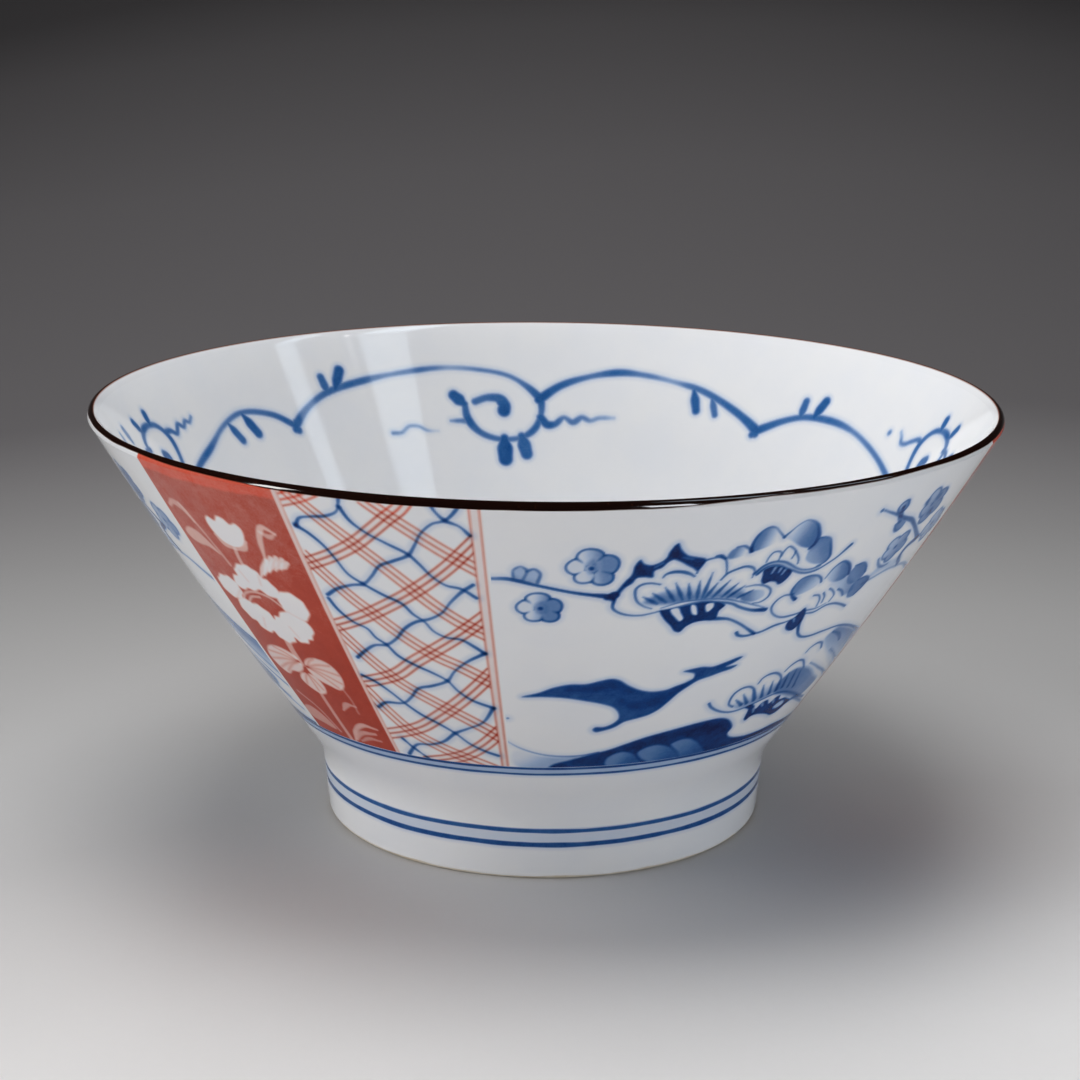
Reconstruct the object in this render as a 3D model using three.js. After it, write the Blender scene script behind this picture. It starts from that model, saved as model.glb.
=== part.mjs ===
// A footed porcelain noodle bowl: a thin flared wall and its floor on a turned foot ring, with an
// iron-brown edging over the lip and a bare, unglazed edge that it stands on.
// Millimetres, +Z up. The origin is the centre of the circle that the bowl stands on.

import * as THREE from "three";

// Mouth and lip
const RIM_RADIUS = 100;
const BOWL_HEIGHT = 94.5;
const LIP_THICKNESS = 2.4;
const EDGING_DEPTH = 1.5;

// Flared wall, its thickness measured level
const WALL_THICKNESS_AT_FLOOR = 5.6;
const WALL_BOW = 1.3;

// Floor inside the bowl, the hollow sweep from it up into the wall, and how far above the
// floor the wall section starts, level with the painted lines under the panels
const FLOOR_THICKNESS = 6;
const FLOOR_FLAT_RADIUS = 18;
const WELL_SWEEP = 24;
const WALL_START = 11;

// Foot ring, from the standing edge up to the underside of the floor
const FOOT_RADIUS = 49.3;
const FOOT_HEIGHT = 12;
const FOOT_FLARE = 1;
const FOOT_WIDTH_AT_EDGE = 4.4;
const FOOT_WIDTH_AT_FLOOR = 8.5;

// Concave neck where the foot turns into the wall
const NECK_RISE = 3.8;
const NECK_SWEEP = 6;

// Bare standing edge, rounded on both sides, and the shallow dome of the underside
const BARE_EDGE_HEIGHT = 1.4;
const BARE_EDGE_ROUNDING = 1.1;
const UNDERSIDE_DOME = 0.8;

// Facets around the bowl and along each stretch of the profile
const FACETS_AROUND = 72;
const WALL_STEPS = 8;
const WELL_STEPS = 6;
const NECK_STEPS = 4;
const FOOT_STEPS = 4;
const ROUNDING_STEPS = 3;
const DOME_STEPS = 3;

const point = (radius, height) => new THREE.Vector2(radius, height);

// A gentle curve between two points, pulled towards a third that it doesn't reach
const sweep = (from, towards, to, steps) =>
  new THREE.QuadraticBezierCurve(from, towards, to).getPoints(steps);

// The point of a curve at a distance from its start
const pointAlong = (curve, distance) => curve.getPointAt(distance / curve.getLength());

// The stretch of a curve from a distance after its start up to its end
function stretchAfter(curve, distance, steps) {
  const start = distance / curve.getLength();
  const points = [];
  for (let step = 0; step <= steps; step += 1) {
    points.push(curve.getPointAt(start + ((1 - start) * step) / steps));
  }
  return points;
}

// A profile's points below and above a level, each ending on the point where it crosses the level
function splitAtLevel(profile, level) {
  const index = profile.findIndex((corner, i) => i > 0 && corner.y > level !== profile[0].y > level);
  const before = profile[index - 1];
  const after = profile[index];
  const crossing = before.clone().lerp(after, (level - before.y) / (after.y - before.y));
  crossing.y = level;
  return [
    [...profile.slice(0, index), crossing],
    [crossing, ...profile.slice(index)],
  ];
}

// A wall from its foot to the lip, swelling a little beyond the straight line between them
function bowedWall(foot, lip) {
  const middle = point((foot.x + lip.x) / 2 + 2 * WALL_BOW, (foot.y + lip.y) / 2);
  return new THREE.QuadraticBezierCurve(foot, middle, lip);
}

// A quarter of an ellipse from one angle to another
const quarterRound = (centre, reach, rise, from, to) =>
  new THREE.EllipseCurve(centre.x, centre.y, reach, rise, from, to).getPoints(ROUNDING_STEPS);

// A solid turned about the vertical axis from its profile, outside first
function turned(name, profile, finish) {
  const corners = profile.filter((corner, index) => index === 0 || !corner.equals(profile[index - 1]));
  const geometry = new THREE.LatheGeometry(corners, FACETS_AROUND);
  geometry.rotateX(Math.PI / 2);
  const mesh = new THREE.Mesh(geometry, finish);
  mesh.name = name;
  return mesh;
}

// Levels and radii where the pieces meet
const edgingSeam = BOWL_HEIGHT - EDGING_DEPTH;
const floorLevel = FOOT_HEIGHT + FLOOR_THICKNESS;
const footTopRadius = FOOT_RADIUS + FOOT_FLARE;
const footInnerAtFloor = footTopRadius - FOOT_WIDTH_AT_FLOOR;
const footInnerAtEdge = FOOT_RADIUS - FOOT_WIDTH_AT_EDGE;
const lipOuter = point(RIM_RADIUS, edgingSeam);
const lipInner = point(RIM_RADIUS - LIP_THICKNESS, edgingSeam);
const footTop = point(footTopRadius, FOOT_HEIGHT);

// Outer wall from the corner where it would meet the foot, and the same wall's inside face
const neckCorner = point(footTopRadius, FOOT_HEIGHT + NECK_RISE);
const outerWall = bowedWall(neckCorner, lipOuter);
const wallLean = (lipOuter.x - neckCorner.x) / (lipOuter.y - neckCorner.y);
const outerRadiusAtFloor = neckCorner.x + (floorLevel - neckCorner.y) * wallLean;
const wellCorner = point(outerRadiusAtFloor - WALL_THICKNESS_AT_FLOOR, floorLevel);
const innerWall = bowedWall(wellCorner, lipInner);

// Outside of the bowl from the foot up to the edging, and its inside from the edging down to the floor
const neck = sweep(footTop, neckCorner, pointAlong(outerWall, NECK_SWEEP), NECK_STEPS);
const outside = [...neck, ...stretchAfter(outerWall, NECK_SWEEP, WALL_STEPS)];
const floorEdge = point(FLOOR_FLAT_RADIUS, floorLevel);
const well = sweep(pointAlong(innerWall, WELL_SWEEP), wellCorner, floorEdge, WELL_STEPS);
const inside = [...stretchAfter(innerWall, WELL_SWEEP, WALL_STEPS).reverse(), ...well];
const wallSeam = floorLevel + WALL_START;
const [outsideBelowSeam, outsideAboveSeam] = splitAtLevel(outside, wallSeam);
const [insideAboveSeam, insideBelowSeam] = splitAtLevel(inside, wallSeam);

// Floor section: domed underside, flat seat for the foot, neck, start of the wall, well and floor
function bowlFloor() {
  const underside = sweep(
    point(0, FOOT_HEIGHT + UNDERSIDE_DOME),
    point(footInnerAtFloor / 2, FOOT_HEIGHT + UNDERSIDE_DOME),
    point(footInnerAtFloor, FOOT_HEIGHT),
    DOME_STEPS,
  );
  const floorCentre = point(0, floorLevel);
  const glaze = new THREE.MeshStandardMaterial({ color: 0xe6e8ec, roughness: 0.15, metalness: 0 });
  return turned("bowl_floor", [...underside, ...outsideBelowSeam, ...insideBelowSeam, floorCentre], glaze);
}

// Flared wall: thin, slightly bowed, tapering towards the lip
function flaredWall() {
  const glaze = new THREE.MeshStandardMaterial({ color: 0xe8eaee, roughness: 0.14, metalness: 0 });
  const profile = [...outsideAboveSeam, ...insideAboveSeam, outsideAboveSeam[0]];
  return turned("flared_wall", profile, glaze);
}

// Foot ring: nearly upright outside, hollow-curved inside, wider where it joins the floor
function footRing() {
  const edgeOuter = point(FOOT_RADIUS, BARE_EDGE_HEIGHT);
  const edgeInner = point(footInnerAtEdge, BARE_EDGE_HEIGHT);
  const innerTop = point(footInnerAtFloor, FOOT_HEIGHT);
  const innerFace = sweep(innerTop, point(footInnerAtEdge, FOOT_HEIGHT), edgeInner, FOOT_STEPS);
  const glaze = new THREE.MeshStandardMaterial({ color: 0xe6e8ec, roughness: 0.16, metalness: 0 });
  return turned("foot_ring", [edgeOuter, footTop, ...innerFace, edgeOuter], glaze);
}

// Rim edging: the rounded lip, level with the wall on both sides
function rimEdging() {
  const centre = point((lipOuter.x + lipInner.x) / 2, edgingSeam);
  const reach = LIP_THICKNESS / 2;
  const outerHalf = quarterRound(centre, reach, EDGING_DEPTH, 0, Math.PI / 2);
  const innerHalf = quarterRound(centre, reach, EDGING_DEPTH, Math.PI / 2, Math.PI);
  const ironGlaze = new THREE.MeshStandardMaterial({ color: 0x2f1a12, roughness: 0.22, metalness: 0 });
  const profile = [lipOuter, ...outerHalf.slice(1), ...innerHalf.slice(1, -1), lipInner, lipOuter];
  return turned("rim_edging", profile, ironGlaze);
}

// Standing edge: unglazed clay, flat below and rounded up to the glaze on both sides
function standingEdge() {
  const rounding = BARE_EDGE_ROUNDING;
  const rise = BARE_EDGE_HEIGHT;
  const outer = point(FOOT_RADIUS - rounding, BARE_EDGE_HEIGHT);
  const inner = point(footInnerAtEdge + rounding, BARE_EDGE_HEIGHT);
  const outerRound = quarterRound(outer, rounding, rise, -Math.PI / 2, 0);
  const innerRound = quarterRound(inner, rounding, rise, -Math.PI, -Math.PI / 2);
  const edgeOuter = point(FOOT_RADIUS, BARE_EDGE_HEIGHT);
  const edgeInner = point(footInnerAtEdge, BARE_EDGE_HEIGHT);
  const bareClay = new THREE.MeshStandardMaterial({ color: 0xd8cdbb, roughness: 0.85, metalness: 0 });
  const profile = [
    ...outerRound.slice(0, -1),
    edgeOuter,
    edgeInner,
    ...innerRound.slice(1),
    outerRound[0],
  ];
  return turned("standing_edge", profile, bareClay);
}

const bowl = new THREE.Group();
bowl.name = "footed_noodle_bowl";
bowl.add(flaredWall(), bowlFloor(), footRing(), rimEdging(), standingEdge());

export default bowl;
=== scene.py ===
"""A footed porcelain noodle bowl, painted in cobalt blue and iron red, dressed over its CAD frame."""

import math

import bpy
import numpy as np
from bpy.props import FloatProperty, FloatVectorProperty, PointerProperty
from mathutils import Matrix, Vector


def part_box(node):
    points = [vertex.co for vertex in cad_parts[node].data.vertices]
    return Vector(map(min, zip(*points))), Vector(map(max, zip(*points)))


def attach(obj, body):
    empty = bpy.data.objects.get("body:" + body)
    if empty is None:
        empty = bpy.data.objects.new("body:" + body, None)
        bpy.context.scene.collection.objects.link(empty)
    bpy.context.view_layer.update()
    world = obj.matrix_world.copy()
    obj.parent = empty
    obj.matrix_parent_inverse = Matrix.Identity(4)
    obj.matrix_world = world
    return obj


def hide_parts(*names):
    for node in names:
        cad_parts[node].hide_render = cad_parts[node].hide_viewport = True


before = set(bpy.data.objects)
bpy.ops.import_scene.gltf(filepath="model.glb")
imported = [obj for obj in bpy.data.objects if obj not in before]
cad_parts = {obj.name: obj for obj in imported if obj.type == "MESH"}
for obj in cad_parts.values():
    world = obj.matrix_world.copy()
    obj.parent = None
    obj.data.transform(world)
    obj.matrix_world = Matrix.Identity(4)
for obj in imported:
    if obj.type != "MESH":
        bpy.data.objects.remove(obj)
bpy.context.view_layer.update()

bl_info = {
    "name": "Footed noodle bowl",
    "version": (1, 0, 0),
    "blender": (4, 5, 0),
    "location": "View3D > Sidebar > Bowl",
    "description": "Turns a footed porcelain bowl and paints its panels, scroll, lines and lip",
    "category": "Add Mesh",
}

MM = 0.001
PAINTS = ("cobalt", "iron_red")
FULL_TURN = 360.0
HALF_TURN = 180.0

# Levels and radii that the frame gives, in metres
WALL_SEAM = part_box("flared_wall")[0].z
LIP_LOW, LIP_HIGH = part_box("rim_edging")
LIP_SEAM = LIP_LOW.z
RIM_LEVEL = LIP_HIGH.z
RIM_RADIUS = LIP_HIGH.x
FOOT_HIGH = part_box("foot_ring")[1]
FOOT_TOP = FOOT_HIGH.z
FOOT_TOP_RADIUS = FOOT_HIGH.x
EDGE_LOW, EDGE_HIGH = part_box("standing_edge")
STANDING_LEVEL = EDGE_LOW.z
BARE_EDGE_TOP = EDGE_HIGH.z
FOOT_RADIUS = EDGE_HIGH.x

# Painted panels round the outside, in degrees from the front towards +X, and their repeat
PANEL_REPEAT = 120.0
RED_START = -54.4
NET_START = -30.4
PICTURE_START = -6.4
PICTURE_MIDDLE = 29.6
PICTURE_END = 65.6
RED_AXIS = -42.0
NET_AXIS = -18.0
PICTURE_AXIS = 28.0

# Fineness of the painted wall, which carries the brushwork in its points, and the scroll's levels
COLUMNS_PER_DEGREE = 5.9
OUTSIDE_ROWS = 270
LIP_ROWS = 10
SCROLL_ROWS = 92
LOWER_ROWS = 12
WELL_ROWS = 8
SCROLL_TOP = 88.0 * MM
SCROLL_BOTTOM = 58.0 * MM

# Fineness of the lip and of the plain turned pieces
RIM_COLUMNS = 2124
PLAIN_COLUMNS = 240
SEAM_ROWS = 1
LIP_ROUND_ROWS = 10
DOME_ROWS = 10
SEAT_ROWS = 2
NECK_ROWS = 14
LOW_WALL_ROWS = 14
LOW_WELL_ROWS = 24
FLAT_FLOOR_ROWS = 5
FOOT_OUTSIDE_ROWS = 12
FOOT_INSIDE_ROWS = 14
EDGE_ROUND_ROWS = 8
EDGE_FLAT_ROWS = 3

# How far a curve's handles reach towards the point that pulls it: a parabola, a quarter of an ellipse
QUADRATIC = 2.0 / 3.0
ELLIPTIC = 0.5523

# Edges that bend less than the angle are smooth, and points closer than the reach become one
SMOOTH_ANGLE = math.radians(30.0)
MERGE_REACH = 1e-6

# The unrolled wall: share of a turn round the bowl that stays when the cone is laid flat, and the
# distance in millimetres from the flat cone's point to the start of each face
CONE_SHARE = 0.5413
OUTER_APEX = 92.9
INNER_APEX = 93.75

# Edges of the panels as turns from their own drawing axes, in degrees of the unrolled wall, and how far
# up it in millimetres their lines run
RED_LEFT_TURN = -6.3
RED_RIGHT_TURN = 6.07
RED_STRIP_TURN = 8.0
NET_STRIP_TURN = -8.0
NET_LEFT_TURN = -6.52
NET_RIGHT_TURN = 5.38
NET_EDGE_TURN = 5.98
EDGE_LINE_FROM = 8.0
EDGE_LINE_TO = 95.0

# Brushwork: the peony's lobes and soft edges, and the scroll's soft edges, low arcs and tails
PETAL_LOBE = 0.55
PEONY_SOFT = 0.9
SCROLL_SOFT = 1.25
ARC_WIDTHS = [2.4, 1.7, 1.9, 1.4, 1.4, 1.6, 1.9]
ARC_DEPTHS = [0.7, 0.62, 0.66, 0.48, 0.56, 0.6, 0.68]
TAIL_WIDTHS = [1.7, 1.4, 1.4, 1.3, 1.0]

# Where each kind of face of a wall section lies on its UV map: left, right, bottom and top
OUTSIDE_FACE, INSIDE_FACE, TOP_FACE, BOTTOM_FACE, END_FACE = range(5)
UV_PLACES = (
    (0.01, 0.62, 0.05, 0.99), (0.64, 0.99, 0.05, 0.99), (0.01, 0.30, 0.006, 0.036),
    (0.32, 0.62, 0.006, 0.036), (0.64, 0.99, 0.006, 0.036),
)
UV_NAME = "OFBake"
UV_SLACK = 10.0

# Blue lines round the neck and the foot: level and width in millimetres and depth of blue, the radius
# that they lie outside of, and how deep the blue is that runs from them into the glaze
NECK_LINES = ((28.6, 0.72, 0.86), (26.95, 0.66, 0.8), (27.8, 1.8, 0.24))
NECK_LINES_FROM = 54.0 * MM
FOOT_LINES = ((11.3, 0.95, 0.76), (8.1, 1.1, 0.8), (9.7, 4.0, 0.06))
FOOT_LINES_FROM = 47.6 * MM
LINE_BLEED = 0.1

# Tint where no paint is, what red laid twice leaves of red, the level where the red turns bright under the
# lip, partly the enamel's own brighter red and partly painted light, and where across the front the brown
# glaze hangs lowest
BARE = (1.0, 1.0, 1.0)
RED_LAID_TWICE = (0.70, 0.58, 0.56)
LIT_RED_BAND_FROM = 90.6 * MM
LIT_RED_BAND_BLEND = 0.9 * MM
LOW_GLAZE_AT = -14.0 * MM

# Refraction of the glazes, and their smoothest and roughest places
GLAZE_IOR = 1.5
WALL_ROUGHNESS = (0.04, 0.08)
NECK_ROUGHNESS = (0.07, 0.12)
FOOT_ROUGHNESS = (0.08, 0.14)
LIP_ROUGHNESS = (0.05, 0.09)

# The floor and the backdrop that it sweeps up into, in metres
FLOOR_WIDTH = 6.0
FLOOR_DEPTH = 2.6
FLOOR_FRONT = -1.6
BACKDROP_HEIGHT = 2.4
SWEEP_RADIUS = 0.8
SWEEP_STEPS = 24

# How the floor's colour falls off round a middle, a painted pool of light round the bowl that fades to
# painted shade farther out:
# shares of a reach in metres, each with its share of the floor's colour or, farther out, of the backdrop's
PAINTED_LIGHT_POOL_MIDDLE = (0.055, -0.25, 0.0)
PAINTED_FALLOFF_REACH = 1.1
PAINTED_LIGHT_POOL_SHADES = ((0.13, 1.0), (0.17, 0.9), (0.24, 0.6), (0.29, 0.5), (0.395, 0.36))
PAINTED_FALLOFF_SHADES = ((0.58, 2.35), (0.75, 1.7), (0.845, 1.05), (0.885, 0.6), (1.0, 0.45))

# Lamps: power and the share of it, turn from the front and rise in degrees, distance from a point on the
# bowl's axis, width and height in metres, tint, and whether the glaze mirrors it and nothing else shows it
LAMP_AIM = 0.05
DAYLIGHT = (1.0, 0.995, 0.985)
WARM_LIGHT = (1.0, 0.985, 0.96)
FILL_LIGHT = (1.0, 0.99, 0.98)
COOL_LIGHT = (0.88, 0.94, 1.0)
PANE_LIGHT = (0.74, 0.87, 1.0)
GLINT_LIGHT = (1.0, 0.99, 0.97)
COOL_GLINT = (0.92, 0.94, 1.0)
LAMPS = (
    ("overhead_lamp", "overhead_power", 1.0, -90.0, 86.0, 1.0, 0.6, 0.6, DAYLIGHT, False),
    ("back_lamp", "back_power", 1.0, 180.0, 55.0, 0.9, 0.6, 0.6, DAYLIGHT, False),
    ("key_lamp", "key_power", 1.0, -80.0, 38.0, 0.9, 0.5, 0.5, WARM_LIGHT, False),
    ("front_lamp", "front_power", 1.0, 6.0, 6.0, 1.05, 0.9, 0.3, FILL_LIGHT, False),
    ("left_fill", "left_power", 1.0, -80.0, 6.0, 1.05, 0.6, 0.3, FILL_LIGHT, False),
    ("right_fill", "right_power", 1.0, 80.0, 2.0, 1.05, 0.6, 0.12, COOL_LIGHT, False),
    ("window_near", "window_power", 1.0, 66.0, 61.0, 0.75, 0.13, 0.28, PANE_LIGHT, True),
    ("window_far", "window_power", 0.36, 99.0, 46.0, 0.75, 0.06, 0.24, PANE_LIGHT, True),
    ("glint", "window_power", 0.05, 79.0, 52.5, 0.75, 0.02, 0.02, GLINT_LIGHT, True),
    ("lip_glint_left", "window_power", 3.2, -66.5, 23.0, 0.87, 0.13, 0.26, GLINT_LIGHT, True),
    ("lip_glint_right", "window_power", 3.4, 28.4, 22.5, 0.88, 0.16, 0.24, COOL_GLINT, True),
)
AMBIENT_TINT = (0.97, 0.98, 1.0, 1.0)

# The photo's camera: place in metres, tilt down and turn in degrees, sensor and lens in millimetres
CAMERA_PLACE = (-0.00107, -0.5, 0.19352)
CAMERA_TILT = 14.8215
CAMERA_TURN = 0.46758
SENSOR_WIDTH = 36.0
LENS = 76.47


def millimetres(label, description, default, limit=200.0):
    """A size property in Blender's length unit, its default given in millimetres."""
    return FloatProperty(
        name=label, description=description, default=default * MM, min=0.0, max=limit * MM, unit="LENGTH"
    )


def colour(label, description, default):
    """A linear colour property."""
    return FloatVectorProperty(
        name=label, description=description, default=default, min=0.0, max=1.0, subtype="COLOR"
    )


def watts(label, description, default):
    """A lamp's power property."""
    return FloatProperty(name=label, description=description, default=default, min=0.0, unit="POWER")


class BowlShape(bpy.types.PropertyGroup):
    """Sizes of the turned bowl."""

    lip_thickness: millimetres("Lip thickness", "Thickness of the wall where the brown lip starts", 2.4)
    wall_at_floor: millimetres("Wall at floor", "Level thickness of the wall beside the floor", 5.6)
    wall_bow: millimetres("Wall bow", "How far the wall swells beyond a straight line", 1.3)
    floor_thickness: millimetres("Floor thickness", "From the foot's top to the floor inside", 6.0)
    floor_flat: millimetres("Flat floor", "Radius of the flat middle of the floor", 18.0)
    well_sweep: millimetres("Well sweep", "How far the hollow sweep climbs the wall inside", 24.0)
    neck_rise: millimetres("Neck rise", "Height of the corner that the neck rounds off", 3.8)
    neck_sweep: millimetres("Neck sweep", "How far the neck's curve climbs the wall", 6.0)
    foot_at_edge: millimetres("Foot at edge", "Width of the foot where it stands", 4.4)
    foot_at_floor: millimetres("Foot at floor", "Width of the foot where it joins the floor", 8.5)
    edge_rounding: millimetres("Edge rounding", "Rounding of the bare edge's two sides", 1.1)
    dome: millimetres("Dome", "Rise of the underside inside the foot", 0.8)


class BowlColours(bpy.types.PropertyGroup):
    """Colours of the clay, glaze and paints."""

    porcelain: colour("Porcelain", "Glazed white body", (0.80, 0.81, 0.83))
    cobalt_pale: colour("Pale cobalt", "Thin blue wash", (0.50, 0.64, 0.86))
    cobalt_mid: colour("Middle cobalt", "Blue wash", (0.16, 0.29, 0.56))
    cobalt_line: colour("Line cobalt", "Blue of most lines", (0.04, 0.155, 0.41))
    cobalt_deep: colour("Deep cobalt", "Full brush of blue", (0.002, 0.055, 0.25))
    cobalt_dark: colour("Dark cobalt", "Blue laid twice", (0.001, 0.012, 0.09))
    red_pale: colour("Pale red", "Thin red", (0.92, 0.56, 0.48))
    red_full: colour("Iron red", "Full brush of iron red", (0.54, 0.07, 0.037))
    # Partly painted light: this red is brighter than the enamel alone, standing for light caught by the band
    # under the lip
    red_bright_and_lit: colour("Bright red", "Iron red in the band under the lip", (0.82, 0.09, 0.04))
    brown: colour("Iron brown", "Glaze over the lip", (0.009, 0.003, 0.002))
    brown_thin: colour("Thin brown", "Where the lip's glaze runs thin", (0.20, 0.05, 0.016))
    clay: colour("Bare clay", "Unglazed standing edge", (0.70, 0.655, 0.58))


class BowlStage(bpy.types.PropertyGroup):
    """Floor, backdrop and lamps."""

    floor: colour("Floor", "Pale floor round the bowl", (0.80, 0.795, 0.80))
    backdrop: colour("Backdrop", "Far end of the floor's sweep", (0.042, 0.040, 0.042))
    overhead_power: watts("Overhead lamp", "Soft lamp over the bowl", 6.0)
    back_power: watts("Back lamp", "Soft lamp high behind the bowl", 3.8)
    key_power: watts("Key lamp", "Soft lamp at the left", 2.1)
    front_power: watts("Front lamp", "Low soft lamp behind the camera", 2.5)
    left_power: watts("Left fill", "Low soft lamp at the left", 3.4)
    right_power: watts("Right fill", "Low soft lamp at the right", 2.5)
    window_power: watts("Window", "Wider pane of the window; the other mirrored lamps follow it", 1.0)
    ambient: FloatProperty(
        name="Ambient", description="Even light from all round", default=0.008, min=0.0, max=2.0
    )


class Sweep:
    """A curve of the profile between two points, pulled towards a third that it doesn't reach."""

    def __init__(self, start, pull, end, fullness=QUADRATIC):
        self.start = np.array(start, float)
        self.pull = np.array(pull, float)
        self.end = np.array(end, float)
        self.fullness = fullness

    def at(self, share):
        """Points at shares from 0 to 1 of the curve."""
        share = np.asarray(share, float)[..., None]
        rest = 1.0 - share
        return rest * rest * self.start + 2.0 * rest * share * self.pull + share * share * self.end

    def between(self, first, last):
        """The stretch of the curve between two shares."""
        pull = (
            (1.0 - first) * (1.0 - last) * self.start
            + (first * (1.0 - last) + last * (1.0 - first)) * self.pull
            + first * last * self.end
        )
        return Sweep(self.at(first), pull, self.at(last))

    def lengths(self, count=400):
        """Shares along the curve and the length of curve up to each."""
        shares = np.linspace(0.0, 1.0, count)
        steps = np.linalg.norm(np.diff(self.at(shares), axis=0), axis=1)
        return shares, np.concatenate([[0.0], np.cumsum(steps)])

    def share_along(self, distance):
        """The share at a length of curve from the start."""
        shares, lengths = self.lengths()
        return float(np.interp(distance, lengths, shares))


def straight(start, end):
    """A straight stretch of the profile."""
    middle = (np.array(start, float) + np.array(end, float)) / 2.0
    return Sweep(start, middle, end)


class BowlProfile:
    """The curves that the bowl is turned from, as (radius, height) in metres."""

    def __init__(self, shape):
        floor_level = FOOT_TOP + shape.floor_thickness
        lip_outer = (RIM_RADIUS, LIP_SEAM)
        lip_inner = (RIM_RADIUS - shape.lip_thickness, LIP_SEAM)
        neck_corner = (FOOT_TOP_RADIUS, FOOT_TOP + shape.neck_rise)
        lean = (lip_outer[0] - neck_corner[0]) / (lip_outer[1] - neck_corner[1])
        outer_at_floor = neck_corner[0] + (floor_level - neck_corner[1]) * lean
        well_corner = (outer_at_floor - shape.wall_at_floor, floor_level)
        self.floor_level = floor_level
        self.lip_outer = lip_outer
        self.lip_inner = lip_inner
        self.outer = self.bowed(neck_corner, lip_outer, shape.wall_bow)
        self.inner = self.bowed(well_corner, lip_inner, shape.wall_bow)
        self.neck_share = self.outer.share_along(shape.neck_sweep)
        self.well_share = self.inner.share_along(shape.well_sweep)
        self.foot_top = (FOOT_TOP_RADIUS, FOOT_TOP)
        self.neck = Sweep(self.foot_top, neck_corner, self.outer.at(self.neck_share))
        self.floor_edge = (shape.floor_flat, floor_level)
        self.well = Sweep(self.inner.at(self.well_share), well_corner, self.floor_edge)
        self.foot_inner_top = (FOOT_TOP_RADIUS - shape.foot_at_floor, FOOT_TOP)
        self.foot_inner_low = (FOOT_RADIUS - shape.foot_at_edge, BARE_EDGE_TOP)

    @staticmethod
    def bowed(foot, lip, bow):
        """A wall from its foot to the lip that swells a little beyond the line between them."""
        middle = ((foot[0] + lip[0]) / 2.0 + 2.0 * bow, (foot[1] + lip[1]) / 2.0)
        return Sweep(foot, middle, lip)

    def outer_share(self, level):
        """Share of the outer wall at a level."""
        return (level - self.outer.start[1]) / (self.outer.end[1] - self.outer.start[1])

    def inner_share(self, level):
        """Share of the inner wall at a level."""
        return (level - self.inner.start[1]) / (self.inner.end[1] - self.inner.start[1])

    def well_share_at(self, level):
        """Share of the well's sweep at a level."""
        return 1.0 - math.sqrt((level - self.floor_level) / (self.well.start[1] - self.floor_level))


def select_only(obj):
    """Selects one object and makes it active."""
    bpy.ops.object.select_all(action="DESELECT")
    obj.select_set(True)
    bpy.context.view_layer.objects.active = obj


def turned(name, stretches, start, sweep, columns):
    """Turns a profile about the bowl's axis. Angles are in degrees from the front towards +X."""
    bpy.ops.object.select_all(action="DESELECT")
    bpy.ops.curve.primitive_bezier_curve_add()
    piece = bpy.context.object
    piece.name = name
    outline = piece.data
    outline.dimensions = "3D"
    outline.splines.clear()
    across = math.sin(math.radians(start))
    along = -math.cos(math.radians(start))
    for curve, steps in stretches:
        spline = outline.splines.new("BEZIER")
        spline.bezier_points.add(1)
        spline.resolution_u = steps
        corners = (curve.start, curve.end)
        handles = [corner + curve.fullness * (curve.pull - corner) for corner in corners]
        for knot, corner, handle in zip(spline.bezier_points, corners, handles):
            knot.handle_left_type = "FREE"
            knot.handle_right_type = "FREE"
            knot.co = (corner[0] * across, corner[0] * along, corner[1])
            knot.handle_left = (handle[0] * across, handle[0] * along, handle[1])
            knot.handle_right = knot.handle_left
    bpy.ops.object.convert(target="MESH")
    piece = bpy.context.object
    bpy.ops.object.mode_set(mode="EDIT")
    bpy.ops.mesh.select_all(action="SELECT")
    bpy.ops.mesh.remove_doubles(threshold=MERGE_REACH)
    bpy.ops.object.mode_set(mode="OBJECT")
    bpy.ops.object.modifier_add(type="SCREW")
    turn = piece.modifiers[-1]
    turn.axis = "Z"
    turn.angle = math.radians(sweep)
    turn.steps = columns
    turn.render_steps = columns
    turn.use_merge_vertices = sweep >= FULL_TURN
    turn.merge_threshold = MERGE_REACH
    bpy.ops.object.modifier_apply(modifier=turn.name)
    bpy.ops.object.mode_set(mode="EDIT")
    bpy.ops.mesh.select_mode(type="EDGE")
    if sweep < FULL_TURN:
        bpy.ops.mesh.select_all(action="DESELECT")
        bpy.ops.mesh.select_non_manifold(
            extend=False, use_wire=False, use_boundary=True, use_multi_face=False,
            use_non_contiguous=False, use_verts=False,
        )
        bpy.ops.mesh.edge_face_add()
    bpy.ops.mesh.select_all(action="SELECT")
    bpy.ops.mesh.remove_doubles(threshold=MERGE_REACH)
    bpy.ops.mesh.normals_make_consistent(inside=False)
    bpy.ops.object.mode_set(mode="OBJECT")
    bpy.ops.object.shade_smooth_by_angle(angle=SMOOTH_ANGLE)
    piece.data.name = name
    return piece


def settle(piece, material, slot, *nodes):
    """Gives a finished piece its material and its body, and hides the CAD nodes that it stands for."""
    piece.data.materials.clear()
    piece.data.materials.append(material)
    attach(piece, "root")
    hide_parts(*nodes)


def points_of(mesh):
    """A mesh's points as rows of x, y and z."""
    places = np.empty(len(mesh.vertices) * 3)
    mesh.vertices.foreach_get("co", places)
    return places.reshape(-1, 3)


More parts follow.
